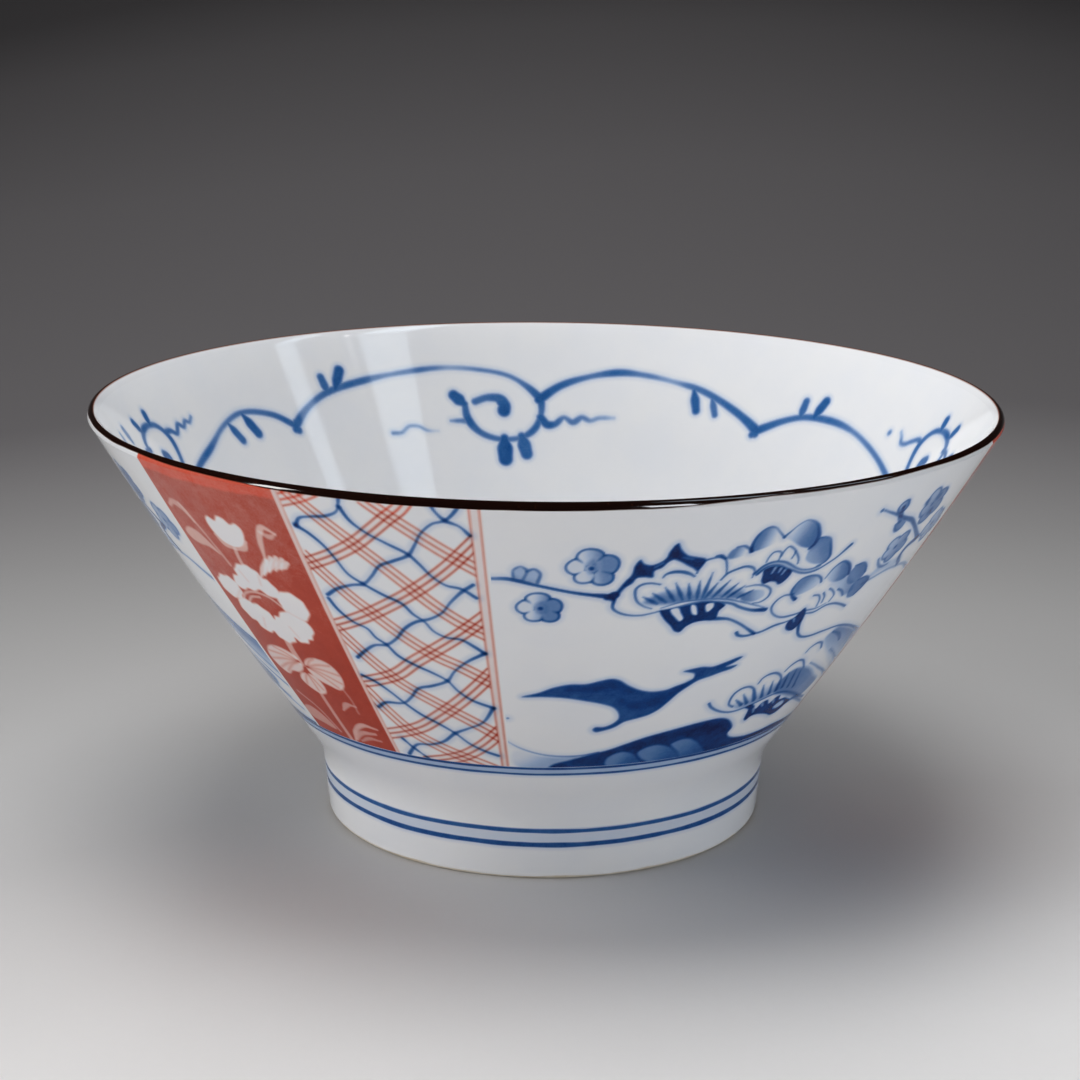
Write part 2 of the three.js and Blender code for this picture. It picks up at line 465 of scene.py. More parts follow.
def flowing_line(points, closed=False, steps=7):
    """Places along a smooth line through the points of a brushstroke."""
    knots = np.array(points, float)
    if closed:
        knots = np.vstack([knots[-2:], knots, knots[:3]])
    if len(knots) == 2:
        return knots
    spans = np.sqrt(np.linalg.norm(np.diff(knots, axis=0), axis=1))
    times = np.concatenate([[0.0], np.cumsum(spans)])
    slopes = np.gradient(knots, times, axis=0)
    share = np.linspace(0.0, 1.0, steps, endpoint=False)[:, None]
    rows = []
    first, last = (2, len(knots) - 3) if closed else (0, len(knots) - 1)
    for index in range(first, last):
        begin, end = knots[index], knots[index + 1]
        pull_out = slopes[index] * spans[index]
        pull_in = slopes[index + 1] * spans[index]
        rows.append(
            begin * (1.0 + 2.0 * share) * (1.0 - share) ** 2
            + pull_out * share * (1.0 - share) ** 2
            + end * share**2 * (3.0 - 2.0 * share)
            + pull_in * share**2 * (share - 1.0)
        )
    rows.append(knots[last][None, :])
    return np.vstack(rows)


def nearest_on(line, across, up):
    """Distance from each place to a line, and the share of the line's length at its nearest point."""
    steps = np.diff(line, axis=0)
    squares = np.maximum((steps**2).sum(axis=1), 1e-12)
    lengths = np.sqrt(squares)
    before = np.concatenate([[0.0], np.cumsum(lengths)])
    best = np.full(len(across), np.inf)
    share = np.zeros(len(across))
    for index, step in enumerate(steps):
        away_x = across - line[index, 0]
        away_y = up - line[index, 1]
        along = np.clip((away_x * step[0] + away_y * step[1]) / squares[index], 0.0, 1.0)
        gap = (away_x - along * step[0]) ** 2 + (away_y - along * step[1]) ** 2
        closer = gap < best
        best = np.where(closer, gap, best)
        share = np.where(closer, before[index] + along * lengths[index], share)
    return np.sqrt(best), share / max(before[-1], 1e-9)


def inside_of(outline, across, up):
    """Whether each place lies inside a closed outline."""
    inside = np.zeros(len(across), bool)
    for (x0, y0), (x1, y1) in zip(outline, np.roll(outline, -1, axis=0)):
        if y0 == y1:
            continue
        spans = (y0 > up) != (y1 > up)
        inside ^= spans & (across < (x1 - x0) * (up - y0) / (y1 - y0) + x0)
    return inside


def soft_step(value):
    """0 up to 1 with an easy start and end."""
    value = np.clip(value, 0.0, 1.0)
    return value * value * (3.0 - 2.0 * value)


def spread_along(share, values):
    """Values spread evenly along a stroke, eased from each to the next."""
    if len(values) == 1:
        return np.full(len(share), values[0])
    step = np.clip(share, 0.0, 1.0) * (len(values) - 1)
    index = np.minimum(step.astype(int), len(values) - 2)
    return values[index] + (values[index + 1] - values[index]) * soft_step(step - index)


class Brush:
    """Lays paint on places of the wall, given in millimetres across and up the unrolled wall."""

    SOFT_LINE = 0.56
    SOFT_WASH = 0.75
    HALO = 0.15
    HALO_REACH = 1.6
    FLOWER_EYE = 1.7
    CREASE_FROM = 1.7
    CREASE_FADE = 1.4

    def __init__(self, across, up, paints):
        self.across = across
        self.up = up
        self.paints = paints
        self.paint = "cobalt"
        self.pools = True

    def near(self, line, reach):
        """The places within a reach of a line's box."""
        low = line.min(axis=0) - reach
        high = line.max(axis=0) + reach
        return np.flatnonzero(
            (self.across > low[0]) & (self.across < high[0]) & (self.up > low[1]) & (self.up < high[1])
        )

    def lay(self, places, depth):
        """Adds paint over what is there. Where paint pools, a second layer darkens a first."""
        held = self.paints[self.paint]
        depth = np.clip(depth, 0.0, 1.0)
        if self.pools:
            held[places] = 1.0 - (1.0 - held[places]) * (1.0 - depth)
        else:
            held[places] = np.maximum(held[places], depth)

    def lift(self, places, share):
        """Takes paint away, as a reserved or scratched place has none."""
        held = self.paints[self.paint]
        held[places] *= 1.0 - np.clip(share, 0.0, 1.0)

    def stroke(self, places, edge, depth, soft):
        """Lays paint inside an edge, in millimetres. Cobalt runs a little into the glaze round it."""
        self.lay(places, depth * soft_step(edge / soft + 0.5))
        if self.paint == "cobalt":
            held = self.paints[self.paint]
            halo = self.HALO * depth * soft_step(edge / self.HALO_REACH + 1.0)
            held[places] = np.maximum(held[places], halo)

    def edge_of_line(self, points, width, soft):
        """The places near a line, how far each is inside its edge, and the share along it."""
        line = flowing_line(points)
        widths = np.atleast_1d(np.asarray(width, float))
        places = self.near(line, widths.max() / 2.0 + soft + self.HALO_REACH)
        distance, share = nearest_on(line, self.across[places], self.up[places])
        return places, spread_along(share, widths) / 2.0 - distance, share

    def line(self, points, width, depth, soft=SOFT_LINE):
        """A brush line. Width and depth may be lists, spread evenly along it."""
        places, edge, share = self.edge_of_line(points, width, soft)
        depths = np.atleast_1d(np.asarray(depth, float))
        self.stroke(places, edge, spread_along(share, depths), soft)

    def scratch(self, points, width, share, soft=SOFT_LINE):
        """A line lifted out of the paint."""
        places, edge, _ = self.edge_of_line(points, width, soft)
        self.lift(places, share * soft_step(edge / soft + 0.5))

    def edge_of_shape(self, points, soft):
        """The places near a shape and how far each is inside its outline."""
        outline = flowing_line(points, closed=True)[:-1]
        places = self.near(outline, soft + self.HALO_REACH)
        across, up = self.across[places], self.up[places]
        ring = np.vstack([outline, outline[:1]])
        distance, _ = nearest_on(ring, across, up)
        return places, np.where(inside_of(outline, across, up), distance, -distance)

    def along(self, places, fade):
        """Shares from 0 to 1 of the way from one place to another."""
        start, end = np.array(fade[0], float), np.array(fade[1], float)
        run = end - start
        share = (self.across[places] - start[0]) * run[0] + (self.up[places] - start[1]) * run[1]
        return soft_step(share / (run @ run))

    def wash(self, points, depth, fade=None, soft=SOFT_WASH):
        """Fills an outline. With a fade of two places, depth is a pair that runs from one to the other."""
        places, edge = self.edge_of_shape(points, soft)
        if fade is not None:
            depth = depth[0] + (depth[1] - depth[0]) * self.along(places, fade)
        self.stroke(places, edge, depth, soft)

    def edge_of_band(self, left, right):
        """Millimetres inside the strip of wall between two turns from the drawing's axis, in degrees."""
        reach = self.up + OUTER_APEX
        turn = np.arctan2(self.across, reach)
        inside = np.minimum(turn - math.radians(left), math.radians(right) - turn)
        return inside * np.hypot(self.across, reach)

    def band(self, left, right, depth, fade, soft=0.5):
        """Fills a strip of wall, with a depth at each of two places."""
        places = np.arange(len(self.up))
        tone = depth[0] + (depth[1] - depth[0]) * self.along(places, fade)
        self.lay(places, tone * soft_step(self.edge_of_band(left, right) / soft + 0.5))

    def clear_beyond(self, left, right, soft=0.3):
        """Lifts the paint outside a strip of wall."""
        self.lift(np.arange(len(self.up)), soft_step(0.5 - self.edge_of_band(left, right) / soft))

    def reserve(self, points, share, soft, fade=None):
        """Lifts the paint off an outline. With a fade of two places, share is a pair."""
        places, edge = self.edge_of_shape(points, soft)
        if fade is not None:
            share = share[0] + (share[1] - share[0]) * self.along(places, fade)
        self.lift(places, share * soft_step(edge / soft + 0.5))

    def dot(self, centre, radius, depth, soft=SOFT_LINE):
        """A round touch of the brush."""
        edge = radius - np.hypot(self.across - centre[0], self.up - centre[1])
        places = np.flatnonzero(edge > -self.HALO_REACH)
        self.stroke(places, edge[places], depth, soft)

    def blossom(self, petals, middle, fade, depths, width=0.5, depth=0.58, soft=SOFT_LINE):
        """An open flower: a wash, one outline round its petals, short creases and a dot in the middle."""
        rims = np.array(petals, float)
        places = self.near(rims[:, :2], rims[:, 2].max() * 1.2 + self.HALO_REACH)
        tone = depths[0] + (depths[1] - depths[0]) * self.along(places, fade)
        edges = []
        for x, y, radius in petals:
            away_x, away_y = self.across[places] - x, self.up[places] - y
            angle = np.arctan2(away_y, away_x)
            uneven = 1.0 + 0.05 * np.sin(2.0 * angle + x) + 0.03 * np.sin(3.0 * angle + y)
            edges.append(radius * uneven - np.hypot(away_x, away_y))
        ranked = np.sort(edges, axis=0)
        from_middle = np.hypot(self.across[places] - middle[0], self.up[places] - middle[1])
        edge = np.maximum(ranked[-1], self.FLOWER_EYE - from_middle)
        self.stroke(places, edge, tone, self.SOFT_WASH)
        self.stroke(places, width / 2.0 - np.abs(edge - width / 2.0), depth, soft)
        if len(petals) > 1:
            crease = width * 0.4 - (ranked[-1] - ranked[-2]) / 2.0
            near_rim = soft_step((from_middle - self.CREASE_FROM) / self.CREASE_FADE) * (edge > 0.0)
            self.stroke(places, crease, depth * 0.8 * near_rim, soft)
        self.dot(middle, 0.5, min(depth + 0.25, 0.9), soft)


def line_between(above, below):
    """Points half way between those of two lines."""
    return [((x0 + x1) / 2.0, (y0 + y1) / 2.0) for (x0, y0), (x1, y1) in zip(above, below)]


def draw_plum_twig(brush):
    """A twig with a bud and two plum blossoms, at the picture's left."""
    brush.line(
        [(-53, 65.4), (-50.4, 66.3), (-45, 66.3), (-37, 66.1), (-30.5, 66.3)],
        [0.9, 1.0, 0.75, 0.75, 0.85, 1.4], [0.5, 0.78, 0.76, 0.8, 0.84, 0.94],
    )
    brush.line([(-31, 66), (-29.9, 66.8)], [1.5, 2.0], 0.9)
    brush.wash([(-49.6, 67), (-49.8, 69.4), (-48.4, 70.2), (-46, 70.3), (-44.9, 69.2), (-44.9, 67)], 0.24)
    brush.line([(-49.4, 66.8), (-50, 69), (-48.9, 70.3), (-47.6, 69.6), (-47.6, 67)], 0.5, 0.44, soft=0.7)
    brush.line([(-47.5, 69.4), (-46.4, 70.4), (-45, 69.6), (-44.8, 67)], [0.5, 0.6, 0.7], 0.5, soft=0.7)
    brush.blossom(
        [(-37.3, 75.8, 2.7), (-36.8, 70.8, 2.2), (-39, 73, 2.3), (-33.6, 71.3, 2.4), (-33.8, 74.5, 2.8)],
        (-36.2, 73.1), ((-38, 72.6), (-33.8, 74.4)), (0.08, 0.44),
    )
    brush.wash([(-37.6, 73.6), (-36.6, 75.6), (-35.6, 74.4), (-35, 72.4), (-36.2, 71.6)], 0.24, soft=1.2)
    brush.blossom(
        [(-43.5, 62.3, 2.5), (-43, 58.2, 2.1), (-45, 60, 2.2), (-40.4, 59.1, 2.2), (-40.6, 61.5, 2.3)],
        (-42.4, 60.3), ((-44.4, 59.8), (-40.6, 60.4)), (0.08, 0.48),
    )
    brush.wash([(-43.8, 60.8), (-42.6, 62.4), (-41.4, 61.6), (-41, 59.4), (-42.6, 58.8)], 0.26, soft=1.2)


def draw_old_trunk(brush):
    """The dark gnarled wood behind the great pine fan."""
    brush.wash([
        (-31, 66.3), (-29.8, 67.7), (-29.2, 70), (-28.3, 72.7), (-28.4, 75), (-27.8, 76.7), (-26.8, 75.8),
        (-25.3, 75.5), (-24, 76.2), (-23, 77.5), (-22.7, 79.7), (-21.8, 81.5), (-20.7, 80), (-19, 78.5),
        (-17, 78), (-15, 77.5), (-14.8, 76.8), (-15.7, 74.3), (-16.8, 75), (-18.3, 75.8), (-20, 76.8),
        (-21.3, 77.2), (-22.2, 76.5), (-23, 75), (-24.2, 74), (-24, 72.3), (-25.7, 72.2), (-27, 71.8),
        (-27.5, 70.3), (-28.7, 68.8), (-29.2, 67), (-29.5, 65.3), (-30.3, 65.2),
    ], 0.9)
    for points, width in (
        ([(-27.6, 75.6), (-27, 73.6), (-25, 73.2)], [0.8, 1.8, 0.9]),
        ([(-22, 80.6), (-21.8, 78.6)], [0.8, 2.0]),
        ([(-21, 78.2), (-18.6, 77), (-16.2, 76.4)], [1.6, 1.2, 1.8]),
        ([(-28.4, 71), (-29.6, 67)], [0.8, 1.0]),
    ):
        brush.line(points, width, 0.5, soft=0.9)
    for points in ([(-24.4, 75), (-23.2, 76.2)], [(-19.6, 77.8), (-17.6, 77.4)]):
        brush.scratch(points, 0.5, 0.22, soft=0.6)


def draw_great_fan(brush):
    """The great fan of pine needles with its scalloped outline, over short dark stems."""
    above = [
        (-19.8, 64), (-16.3, 65.7), (-13, 66.2), (-9.7, 66.3), (-6.3, 65.8), (-3, 64.7), (0.6, 63.2),
        (3, 62.1),
    ]
    below = [
        (-19.7, 63.2), (-16.7, 64.3), (-14.3, 65.2), (-11.7, 65.7), (-8, 65.3), (-5, 64.5), (-3, 63.3),
        (0.2, 61.9), (3.6, 61.3),
    ]
    for lobe, width, depth in (
        ([(-21.7, 63.8), (-23.3, 64.3), (-25, 65.5), (-26, 67.3), (-26.3, 69), (-25.5, 70.2), (-24, 70.7),
          (-22, 70.5)], [0.4, 0.55, 0.6, 0.45], [0.5, 0.65, 0.6]),
        ([(-22, 72.4), (-21.7, 73.2), (-20.5, 73.9), (-18.7, 74), (-17, 73.5), (-15.8, 72.8)],
         [0.45, 0.8, 0.85, 0.5], [0.6, 0.74, 0.6]),
        ([(-15.6, 73.6), (-15.5, 75.4), (-14.8, 77), (-13, 77.7), (-11.7, 77.7), (-10.7, 77), (-9.8, 75),
          (-9.3, 73.3)], [0.4, 0.5, 0.5, 0.4], 0.6),
        ([(-9.9, 71.6), (-9, 73.3), (-7.3, 74.3), (-5.7, 74.8), (-4, 74.3), (-3.2, 73.3), (-3.1, 71.5)],
         [0.5, 0.6, 0.65, 0.4], [0.6, 0.68, 0.5]),
        ([(-3.6, 69), (-1.4, 69.2), (1.2, 68.4), (2.7, 67), (2.8, 65.2), (1.6, 64), (-0.2, 63.9)],
         [0.4, 0.5, 0.55, 0.4], [0.5, 0.62, 0.55]),
    ):
        brush.line(lobe, width, depth)
    brush.line([(-13, 78.1), (-12.2, 78.2), (-10.9, 77.4)], [0.5, 0.8, 0.6], 0.72)
    brush.wash([
        (-23.6, 65.4), (-22, 67.8), (-18.4, 69.8), (-14, 71), (-10, 71.2), (-6.4, 69.8), (-3.4, 67.6),
        (-3.6, 66), (-9, 66.4), (-14, 66.2), (-19, 65),
    ], (0.52, 0.06), ((-12.5, 66), (-12.5, 71)), soft=1.8)
    brush.wash(
        [(-3.6, 65.6), (-2, 67.6), (1, 67.2), (1.6, 65.6), (-0.6, 64.4)], (0.52, 0.18),
        ((-3, 65.4), (1.4, 66.4)),
    )
    for base, tip in (
        ((-21, 65.2), (-24.3, 66.9)), ((-19.4, 65.7), (-22.7, 68)), ((-17.8, 66.1), (-20.7, 69.7)),
        ((-16.2, 66.4), (-19, 71)), ((-14.8, 66.6), (-16.3, 70.8)), ((-13.3, 66.7), (-14.2, 71.5)),
        ((-12.2, 66.8), (-12.3, 73.7)), ((-11.6, 66.8), (-10.3, 70.7)), ((-10, 66.9), (-7.8, 71.3)),
        ((-8, 66.8), (-5.7, 70.3)), ((-6.7, 66.5), (-4, 69.3)), ((-4.4, 66.1), (-1.6, 67.8)),
    ):
        brush.line([base, tip], [0.55, 0.85, 0.6, 0.35], [0.5, 0.66, 0.62, 0.45])
    brush.scratch(line_between(above, below), 0.7, 0.7)
    brush.line(above, [0.3, 0.45, 0.4, 0.35], [0.45, 0.56, 0.5])
    brush.line(below, [0.35, 0.5, 0.55, 0.6, 0.7, 1.1], [0.5, 0.6, 0.66, 0.66, 0.9])
    brush.line([
        (-29.6, 65.6), (-29.2, 63.3), (-28, 62.3), (-26, 61.7), (-23.3, 61.8), (-21.3, 62.5), (-19.6, 63.3),
    ], [0.7, 0.55, 0.5, 0.4], [0.8, 0.66, 0.55, 0.5])


def draw_fan_stems(brush):
    """The dark stems under the great fan, with white slits between them, and the branch that leaves them."""
    brush.wash([
        (-19.7, 63.2), (-18.3, 61), (-16.3, 59), (-15, 57.5), (-13.8, 57.2), (-13, 58.7), (-11.7, 59.8),
        (-9.7, 60.2), (-7.7, 60.2), (-7.2, 61), (-7.3, 62.7), (-6.5, 64.3), (-8, 65.2), (-11.7, 65.6),
        (-14.3, 65), (-16.7, 64.2), (-18.7, 63.6),
    ], 0.93, soft=0.55)
    for slit in (
        [(-17.7, 63.6), (-16.3, 64.1), (-15.3, 62.7), (-14.3, 61), (-14.8, 60.3), (-16.2, 61.5),
         (-17.3, 62.7)],
        [(-13.8, 64.9), (-13, 64.8), (-12, 63), (-11.8, 62), (-12.7, 62.2), (-13.5, 63.5)],
        [(-10.7, 64.9), (-9.3, 65.2), (-8.9, 64), (-9.7, 62.7), (-10.3, 63.2)],
    ):
        brush.reserve(slit, 0.94, soft=0.55)
    brush.line(
        [(-7.4, 60.6), (-4.4, 60.1), (-1.4, 58.4), (1.2, 56.4), (3.7, 54.3)], [1.0, 0.6, 0.6, 0.8],
        [0.8, 0.66, 0.66, 0.8],
    )


def draw_upper_cloud_pine(brush):
    """The middle pine cluster: rounded tops with a wash, small loops and a branch left white."""
    brush.wash(
        [(-10.5, 77.4), (-10.4, 79.4), (-9, 80.4), (-7.2, 80.1), (-6.2, 78.6), (-8.2, 77.4)], (0.48, 0.04),
        ((-9.8, 79), (-6.8, 78.4)), soft=0.9,
    )
    brush.line([(-9.4, 80.3), (-8, 80.5), (-6.8, 79.8), (-5.7, 78.8)], [0.4, 0.6, 0.75], [0.45, 0.6, 0.68])
    brush.wash(
        [(-6.1, 78.9), (-6.3, 81.4), (-5.6, 83.6), (-3.8, 84.9), (-1.8, 83.9), (-0.2, 82.2), (-2, 80)],
        (0.6, 0.02), ((-6.2, 82), (-0.8, 81.4)),
    )
    brush.line([
        (-6, 78.8), (-6.3, 80.9), (-5.9, 83), (-5, 84.4), (-3.8, 85), (-2.5, 84.6), (-1.2, 83.3),
        (0.4, 81.6),
    ], [0.8, 0.6, 0.45, 0.4, 0.55], [0.75, 0.68, 0.55, 0.5, 0.62])
    brush.wash([
        (0.6, 82), (2.5, 84.5), (4.3, 85.4), (6, 84.9), (7.6, 83.4), (8.7, 80.4), (8.3, 77.6), (5.6, 78.2),
        (3, 80),
    ], (0.04, 0.62), ((0, 82.6), (8, 80.4)))
    brush.line([
        (0.2, 81.8), (1.2, 83), (2.5, 84.6), (4.1, 85.5), (5.7, 85.1), (7.3, 83.8), (8.3, 81.9), (8.8, 80.4),
        (8.6, 78.3), (7.8, 77.3),
    ], [0.6, 0.4, 0.4, 0.5, 0.8, 1.0, 0.8], [0.62, 0.42, 0.4, 0.55, 0.72, 0.75])
    brush.wash([
        (9, 79.6), (10.9, 79.6), (12.3, 78.6), (13.5, 76.4), (14.4, 73.4), (13.4, 71.9), (10.6, 72.4),
        (8, 74.4), (8, 77),
    ], (0.56, 0.3), ((13.4, 77), (8, 73.6)))
    brush.line([
        (9.4, 79.8), (10.9, 79.6), (12.3, 78.8), (13.3, 76.7), (14.1, 74.6), (14.4, 73.3), (13.6, 71.9),
        (12, 71.4),
    ], [0.4, 0.45, 0.6, 0.55, 0.4], [0.5, 0.55, 0.66, 0.6])
    for loop in (
        [(-1.4, 75.4), (-1.2, 76.9), (-0.6, 77.9), (0.4, 78), (1.2, 77.5), (1.4, 76.2), (1.3, 75.4)],
        [(1.5, 76.6), (1.8, 78), (2.5, 78.9), (3.6, 78.3), (4.6, 77.1), (4.4, 75.4)],
        [(4.6, 77.2), (5.4, 76.2), (6.2, 74.8), (6.5, 73.5)],
    ):
        brush.line(loop, 0.45, [0.5, 0.6, 0.55])
    brush.wash([
        (-1.1, 73.2), (0.7, 74), (2.5, 73.6), (4.1, 72.9), (5.9, 71.6), (5.8, 70.2), (4.6, 68.5),
        (3.8, 68.4), (3, 69.2), (1.7, 69.6), (0.2, 69.2), (-0.6, 70.1), (-0.9, 71.7),
    ], 0.92, soft=0.55)
    for slit in ([(1.4, 73.4), (1.1, 72)], [(4.2, 72.7), (3.7, 71.2)], [(2.9, 73), (2.7, 72)]):
        brush.scratch(slit, [0.7, 0.4], 0.6)
    above = [
        (-3, 72.5), (-1.7, 74.3), (-0.1, 75.1), (1.7, 75.1), (3.3, 74.6), (5.2, 73.4), (6.7, 72.3),
        (8.8, 71.3), (10.9, 71), (13, 71.3),
    ]
    below = [
        (-2.3, 72.2), (-0.9, 73.8), (0.7, 74.2), (2.3, 73.8), (4.1, 72.7), (6.2, 71.6), (8.3, 70.5),
        (10.4, 70), (12.5, 70.2), (14.6, 71.2), (16.7, 72.5), (18.3, 74.1), (19.3, 75.1),
    ]
    brush.scratch(line_between(above, below), 0.8, 0.8)
    brush.wash(above + below[8::-1], 0.26, soft=0.5)
    brush.line(above, [0.7, 0.5, 0.4, 0.35], [0.7, 0.6, 0.52, 0.5])
    brush.line(below, [0.7, 0.5, 0.4, 0.45, 0.5, 0.55, 0.9], [0.72, 0.62, 0.55, 0.6, 0.62, 0.72])


def draw_right_pine(brush):
    """The right-hand pine cluster and the branch under it."""
    brush.wash([
        (8.4, 65), (8.8, 67.2), (10.4, 68.7), (13, 68.4), (15.1, 66.8), (14.6, 65), (11, 63.6), (9.6, 63.6),
    ], (0.5, 0.14), ((9.8, 67.4), (14, 64.6)), soft=0.8)
    brush.line([
        (10.3, 62.5), (9, 63.8), (8.3, 65.3), (8.7, 67.2), (9.7, 68.5), (11.7, 68.8), (13.7, 68.2), (15, 67),
        (15.5, 65.8),
    ], [1.0, 0.6, 0.5, 0.5, 0.5, 0.6], [0.85, 0.66, 0.6, 0.55, 0.6, 0.66])
    brush.wash([
        (16.4, 67.2), (17.6, 69.4), (19.2, 70.4), (20.6, 69.8), (22, 68.4), (23.2, 65.4), (21.8, 64.2),
        (18.4, 64.8),
    ], (0.1, 0.64), ((16, 66.6), (22.6, 67.6)), soft=0.9)
    brush.line(
        [(16.2, 66.6), (17.4, 69.2), (19, 70.3), (20.2, 70), (21.7, 68.7), (22.7, 67), (23.2, 65.2)],
        [0.4, 0.5, 0.6, 0.8, 0.7], [0.4, 0.5, 0.62, 0.72],
    )
    brush.wash(
        [(23.4, 65.4), (24.6, 67.2), (26.6, 66.9), (28.4, 65), (29.1, 62.6), (27.2, 61), (24.4, 62)],
        (0.42, 0.6), ((24, 63), (28, 65)), soft=0.8,
    )
    brush.line([(24.2, 67.2), (26.7, 67), (28.3, 65.3), (29, 63.3)], [0.4, 0.55, 0.6], 0.6)
    brush.wash([
        (26.4, 58.4), (26.8, 60.8), (28.6, 61.6), (30.6, 61.1), (32.1, 59.4), (30.8, 57.2), (28.8, 55.9),
        (27, 56.6),
    ], (0.5, 0.64), ((27, 58), (31, 60)), soft=0.8)
    brush.line([(28, 61.4), (30.3, 61.3), (32, 59.7), (31.3, 58), (29.3, 56.3)], [0.4, 0.55, 0.6], 0.58)
    brush.wash(
        [(18.4, 63.6), (21, 65.4), (25.6, 62.6), (27.6, 58.6), (25, 58), (21.8, 61)], (0.1, 0.36),
        ((19, 62), (26.6, 60.6)), soft=1.6,
    )
    brush.line([
        (9.2, 64.4), (8.7, 64.3), (7, 64.5), (5.7, 63.7), (5, 62), (5.5, 60.3), (7, 58.7), (9, 57.7),
        (12, 57.5), (14.7, 57.7), (18, 57.3), (20.4, 57.8),
    ], [0.45, 0.55, 0.5, 0.6, 0.5, 0.4], [0.5, 0.6, 0.55, 0.62, 0.6, 0.4])
    for loop in (
        [(15.3, 62), (16.8, 61.5), (17.7, 60), (17.8, 58)],
        [(19.3, 62.5), (20.7, 61.3), (21.7, 59.7), (21.2, 58)], [(22.2, 61.2), (23.8, 60), (25, 58.2)],
        [(18, 61.8), (18.8, 60.4), (18.9, 58.6)],
    ):
        brush.line(loop, 0.5, [0.6, 0.55, 0.45])
    brush.line([
        (-0.9, 55.6), (-0.2, 54.7), (1.6, 54.1), (3.7, 54.3), (5.3, 54.5), (8, 55.5), (11, 55.8),
        (14.7, 56.7), (18, 56.2), (20.7, 57), (23.3, 56.5), (26, 55), (28.3, 53.3),
    ], [0.8, 0.6, 0.7, 0.45, 0.5, 0.55, 0.6, 0.7], [0.72, 0.62, 0.68, 0.55, 0.6, 0.62, 0.6])
    brush.wash([
        (11.5, 55.7), (12.5, 56.2), (14.5, 58.7), (15.5, 56.3), (15.3, 54), (14, 52.3), (12.3, 52.8),
        (11.4, 54),
    ], 0.92, soft=0.55)
    brush.scratch([(12.8, 56), (13.2, 55)], [0.6, 0.3], 0.5)


def draw_far_hill(brush):
    """The hill's long contour under the pines, washed on its far side."""
    brush.line([
        (15, 55), (15.2, 53.3), (15.7, 51.7), (16.3, 50.3), (17.6, 48.9), (20, 47.9), (25, 47.3), (30, 46.2),
        (35, 43.4), (40, 39.4), (45, 34.8), (50, 29.6), (55, 24),
    ], [0.9, 0.6, 0.6, 0.65, 0.8, 0.9, 0.9], [0.8, 0.66, 0.58, 0.56, 0.6, 0.5])
    brush.wash([
        (27.4, 43.6), (30.4, 45.4), (35, 42.8), (40, 38.8), (45, 34.2), (51, 28), (58, 20), (52, 15),
        (45, 20.4), (38, 28), (33.4, 34.4), (30.4, 38.4),
    ], (0.52, 0.14), ((40.5, 39.4), (34, 32)), soft=2.0)
    brush.line([(29.4, 44.6), (31.6, 43), (33.6, 41), (35.2, 38.4)], [0.6, 1.0, 0.8], [0.5, 0.42])
    brush.line(
        [(22.8, 41.5), (23.5, 42.6), (25.4, 43.2), (27, 42.4), (28.1, 40.1)], [0.5, 0.7, 0.6], 0.55,
        soft=0.7,
    )
    brush.line(
        [(27.2, 35.7), (30.4, 32.9), (33, 30.4), (37, 26.6), (42, 21), (48, 14)], [0.5, 0.8, 1.0], 0.46,
        soft=0.9,
    )
    brush.line([(33.4, 36.4), (37, 32.6), (42, 26.6), (48, 19)], [0.6, 1.0], 0.34, soft=1.2)


